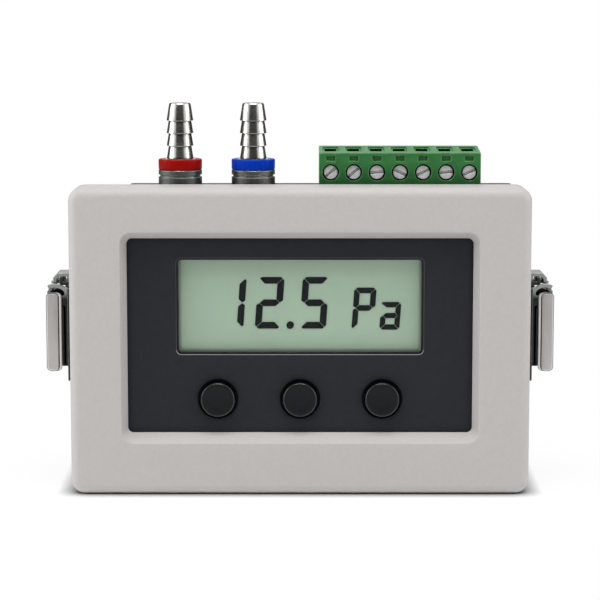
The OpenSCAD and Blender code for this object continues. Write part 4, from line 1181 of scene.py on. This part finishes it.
# Outlines of the seven segments of one digit, mitred where they meet
def segmentShapes(w, h, t, gap, corner, middle=0.5):
    m, c, side, tip = h * middle, corner * t, t * 0.3, t * 0.45
    return {
        "a": [(gap + c, h), (w - gap - c, h), (w - gap - c / 2, h - c / 2), (w - t - gap, h - t),
              (t + gap, h - t), (gap + c / 2, h - c / 2)],
        "b": [(w - c / 2, h - gap - c / 2), (w, h - gap - c), (w, m + side + gap),
              (w - tip, m + gap), (w - t, m + t / 2 + gap), (w - t, h - t - gap)],
        "c": [(w, m - side - gap), (w, gap + c), (w - c / 2, gap + c / 2),
              (w - t, t + gap), (w - t, m - t / 2 - gap), (w - tip, m - gap)],
        "d": [(w - gap - c, 0), (gap + c, 0), (gap + c / 2, c / 2), (t + gap, t),
              (w - t - gap, t), (w - gap - c / 2, c / 2)],
        "e": [(0, m - side - gap), (tip, m - gap), (t, m - t / 2 - gap),
              (t, t + gap), (c / 2, gap + c / 2), (0, gap + c)],
        "f": [(0, m + side + gap), (0, h - gap - c), (c / 2, h - gap - c / 2),
              (t, h - t - gap), (t, m + t / 2 + gap), (tip, m + gap)],
        "g": [(tip + gap, m), (t + gap, m + t / 2), (w - t - gap, m + t / 2),
              (w - tip - gap, m), (w - t - gap, m - t / 2), (t + gap, m - t / 2)],
    }


# The small letter: a roof, one long right stroke, a middle bar and a closed lower loop
def smallLetterShapes(w, h, t, gap, corner, middle):
    m, c = h * middle, corner * t
    a, b, bottom, d, e, _, g = segmentShapes(w, h, t, gap, corner, middle).values()
    roof = [(gap + c / 2, h)] + a[1:5] + [(gap, h - c / 2)]
    stroke = b[:2] + bottom[1:5] + [(w - t / 2, m)] + b[4:]
    bar = g[:3] + [(w - t / 2 - gap * 1.5, m)] + g[4:]
    return [roof, stroke, bar, e, d]


def makeFigures(s):
    shapes = []
    for number, (x, z, w, h, t, lit) in enumerate(s["digits"]):
        outlines = segmentShapes(w, h, t, s["gap"], s["corner"])
        if number == s["tail"][0]:
            key, drop = s["tail"][1:]
            outlines[key] = [(u, v - drop) if v < h / 4 else (u, v) for u, v in outlines[key]]
        shapes += [(x, z, outlines[key]) for key in lit]
    x, z, w, h, t = s["small"]
    shapes += [(x, z, outline) for outline in
               smallLetterShapes(w, h, t, s["gap"], s["corner"], s["smallMiddle"])]
    x, z, r = s["point"]
    angles = [math.tau * i / s["pointSides"] for i in range(s["pointSides"])]
    shapes.append((x, z, [(r * math.cos(angle), r * math.sin(angle)) for angle in angles]))
    verts, faces = [], []
    for x, z, outline in shapes:
        first, count = len(verts), len(outline)
        for depth in (s["front"], s["back"]):
            verts += [at(x + u + v * s["slant"], depth, z + v) for u, v in outline]
        faces += endFaces(2, count, first) + loftFaces(2, count, first)
    finishMesh("displayFigures", verts, faces, "lcdInk", "root", slot="chip_black",
               smoothAngle=20.0)


makeFigures(figureSettings)
print("figures made")

# The other nodes keep their solids and get their finish
replaced = {name for piece in bpy.data.objects for name in piece.get("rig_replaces", [])}
for name, piece in frame["nodes"].items():
    if name not in replaced:
        piece.data.materials.clear()
        piece.data.materials.append(materials[slotOf[name]])
print("nodes dressed:", len(frame["nodes"]) - len(replaced))


# Studio

studioSettings = {
    "floorSize": 8.0, "floorColour": 0.93, "sky": 0.42,
    # the floor turns white outside a rectangle round the foot of the case, by these distances in m
    "foot": (0.046, 0.018), "nearFade": (0.0004, 0.0046), "nearShare": 0.9,
    "farFade": (0.02, 0.07), "contactReach": 0.004, "contactPower": 1.5,
    # name, place, aim, size in m, watts
    "lamps": [("topLamp", (0, -0.35, 1.1), (0, 0, 0.03), (0.8, 0.5), 9.0),
              ("leftLamp", (-0.92, -0.12, 0.42), (0, 0, 0.03), (0.6, 0.6), 5.2),
              ("rightLamp", (0.92, -0.12, 0.42), (0, 0, 0.03), (0.6, 0.6), 3.2)],
    # azimuth from the camera's side in degrees, first and last; radius, low and high
    "cards": [(-40, 40, 0.95, -0.3, 0.75), (108, 168, 0.9, -0.3, 0.6),
              (-168, -108, 0.9, -0.3, 0.6)],
    "cardShade": 0.045, "cardSteps": 12,
}
# the rays to which the backdrop shows white
seenRays = ("Is Camera Ray", "Is Glossy Ray", "Is Transmission Ray")
white = (1, 1, 1, 1)


def rayMask(tree, names):
    path = node(tree, "ShaderNodeLightPath")
    total = path.outputs[names[0]]
    for name in names[1:]:
        total = maths(tree, "MAXIMUM", total, path.outputs[name])
    return total


def makeWorld(s):
    world = bpy.data.worlds.new("studio")
    bpy.context.scene.world = world
    world.use_nodes = True
    tree = world.node_tree
    tree.nodes.clear()
    strength = maths(tree, "MULTIPLY_ADD", rayMask(tree, seenRays), 1.0 - s["sky"], s["sky"])
    sky = node(tree, "ShaderNodeBackground", {"Color": white, "Strength": strength})
    node(tree, "ShaderNodeOutputWorld", {0: sky.outputs[0]})


def makeFloor(s):
    half = s["floorSize"] / 2
    mesh = bpy.data.meshes.new("studioFloor")
    mesh.from_pydata([(-half, -half, 0), (half, -half, 0), (half, half, 0), (-half, half, 0)],
                     [], [(0, 1, 2, 3)])
    floor = newObject("studioFloor", mesh)
    material, tree, shader = startMaterial("paleFloor")
    shader.inputs["Base Color"].default_value = (s["floorColour"],) * 3 + (1.0,)
    parts = objectParts(tree)
    away = maths(tree, "MAXIMUM", *[
        maths(tree, "SUBTRACT", maths(tree, "ABSOLUTE", parts[axis]), reach)
        for axis, reach in zip("XY", s["foot"])])
    near, far = [node(tree, "ShaderNodeMapRange", {
        "Value": away, "From Min": fade[0], "From Max": fade[1], "To Max": share},
        interpolation_type="SMOOTHSTEP").outputs[0]
        for fade, share in ((s["nearFade"], s["nearShare"]), (s["farFade"], 1 - s["nearShare"]))]
    shown = maths(tree, "MULTIPLY", maths(tree, "ADD", near, far), rayMask(tree, seenRays))
    glow = node(tree, "ShaderNodeEmission", {"Color": white, "Strength": 1.0})
    lit = node(tree, "ShaderNodeMixShader", {0: shown, 1: shader.outputs[0], 2: glow.outputs[0]})
    # Painted contact shadow: seen directly, the floor goes dark where the case nearly touches it
    hollow = node(tree, "ShaderNodeAmbientOcclusion", {"Distance": s["contactReach"]}, samples=8)
    bare = maths(tree, "POWER", hollow.outputs["AO"], s["contactPower"])
    contactShadow = maths(tree, "MULTIPLY", maths(tree, "SUBTRACT", 1.0, bare),
                    rayMask(tree, seenRays[:1]))
    black = node(tree, "ShaderNodeBsdfDiffuse", {"Color": (0.0, 0.0, 0.0, 1.0)})
    dark = node(tree, "ShaderNodeMixShader", {0: contactShadow, 1: lit.outputs[0], 2: black.outputs[0]})
    tree.links.new(dark.outputs[0], tree.nodes["Material Output"].inputs[0])
    mesh.materials.append(material)


def makeLamps(s):
    for name, place, aim, size, power in s["lamps"]:
        data = bpy.data.lights.new(name, "AREA")
        data.shape, data.size, data.size_y, data.energy = "RECTANGLE", size[0], size[1], power
        lamp = newObject(name, data)
        lamp.location = place
        lamp.rotation_euler = (Vector(aim) - Vector(place)).to_track_quat("-Z", "Y").to_euler()
        lamp.visible_camera = False


# Dark cards round the set, seen only in reflections, give the metal its bands
def makeCards(s):
    material, tree, shader = startMaterial("darkCard")
    tree.nodes.remove(shader)
    glow = node(tree, "ShaderNodeEmission", {
        "Color": (s["cardShade"],) * 3 + (1.0,), "Strength": 1.0})
    tree.links.new(glow.outputs[0], tree.nodes["Material Output"].inputs[0])
    for number, (first, last, radius, low, high) in enumerate(s["cards"]):
        verts = []
        for step in range(s["cardSteps"] + 1):
            angle = math.radians(first + (last - first) * step / s["cardSteps"])
            x, y = radius * math.sin(angle), -radius * math.cos(angle)
            verts += [(x, y, low), (x, y, high)]
        faces = [(2 * i, 2 * i + 2, 2 * i + 3, 2 * i + 1) for i in range(s["cardSteps"])]
        mesh = bpy.data.meshes.new("darkCard%d" % number)
        mesh.from_pydata(verts, [], faces)
        mesh.materials.append(material)
        card = newObject("darkCard%d" % number, mesh)
        card.visible_camera = card.visible_diffuse = card.visible_shadow = False
        card.visible_transmission = card.visible_volume_scatter = False


makeWorld(studioSettings)
makeFloor(studioSettings)
makeLamps(studioSettings)
makeCards(studioSettings)
bpy.context.scene.view_settings.view_transform = "Standard"
print("studio set")
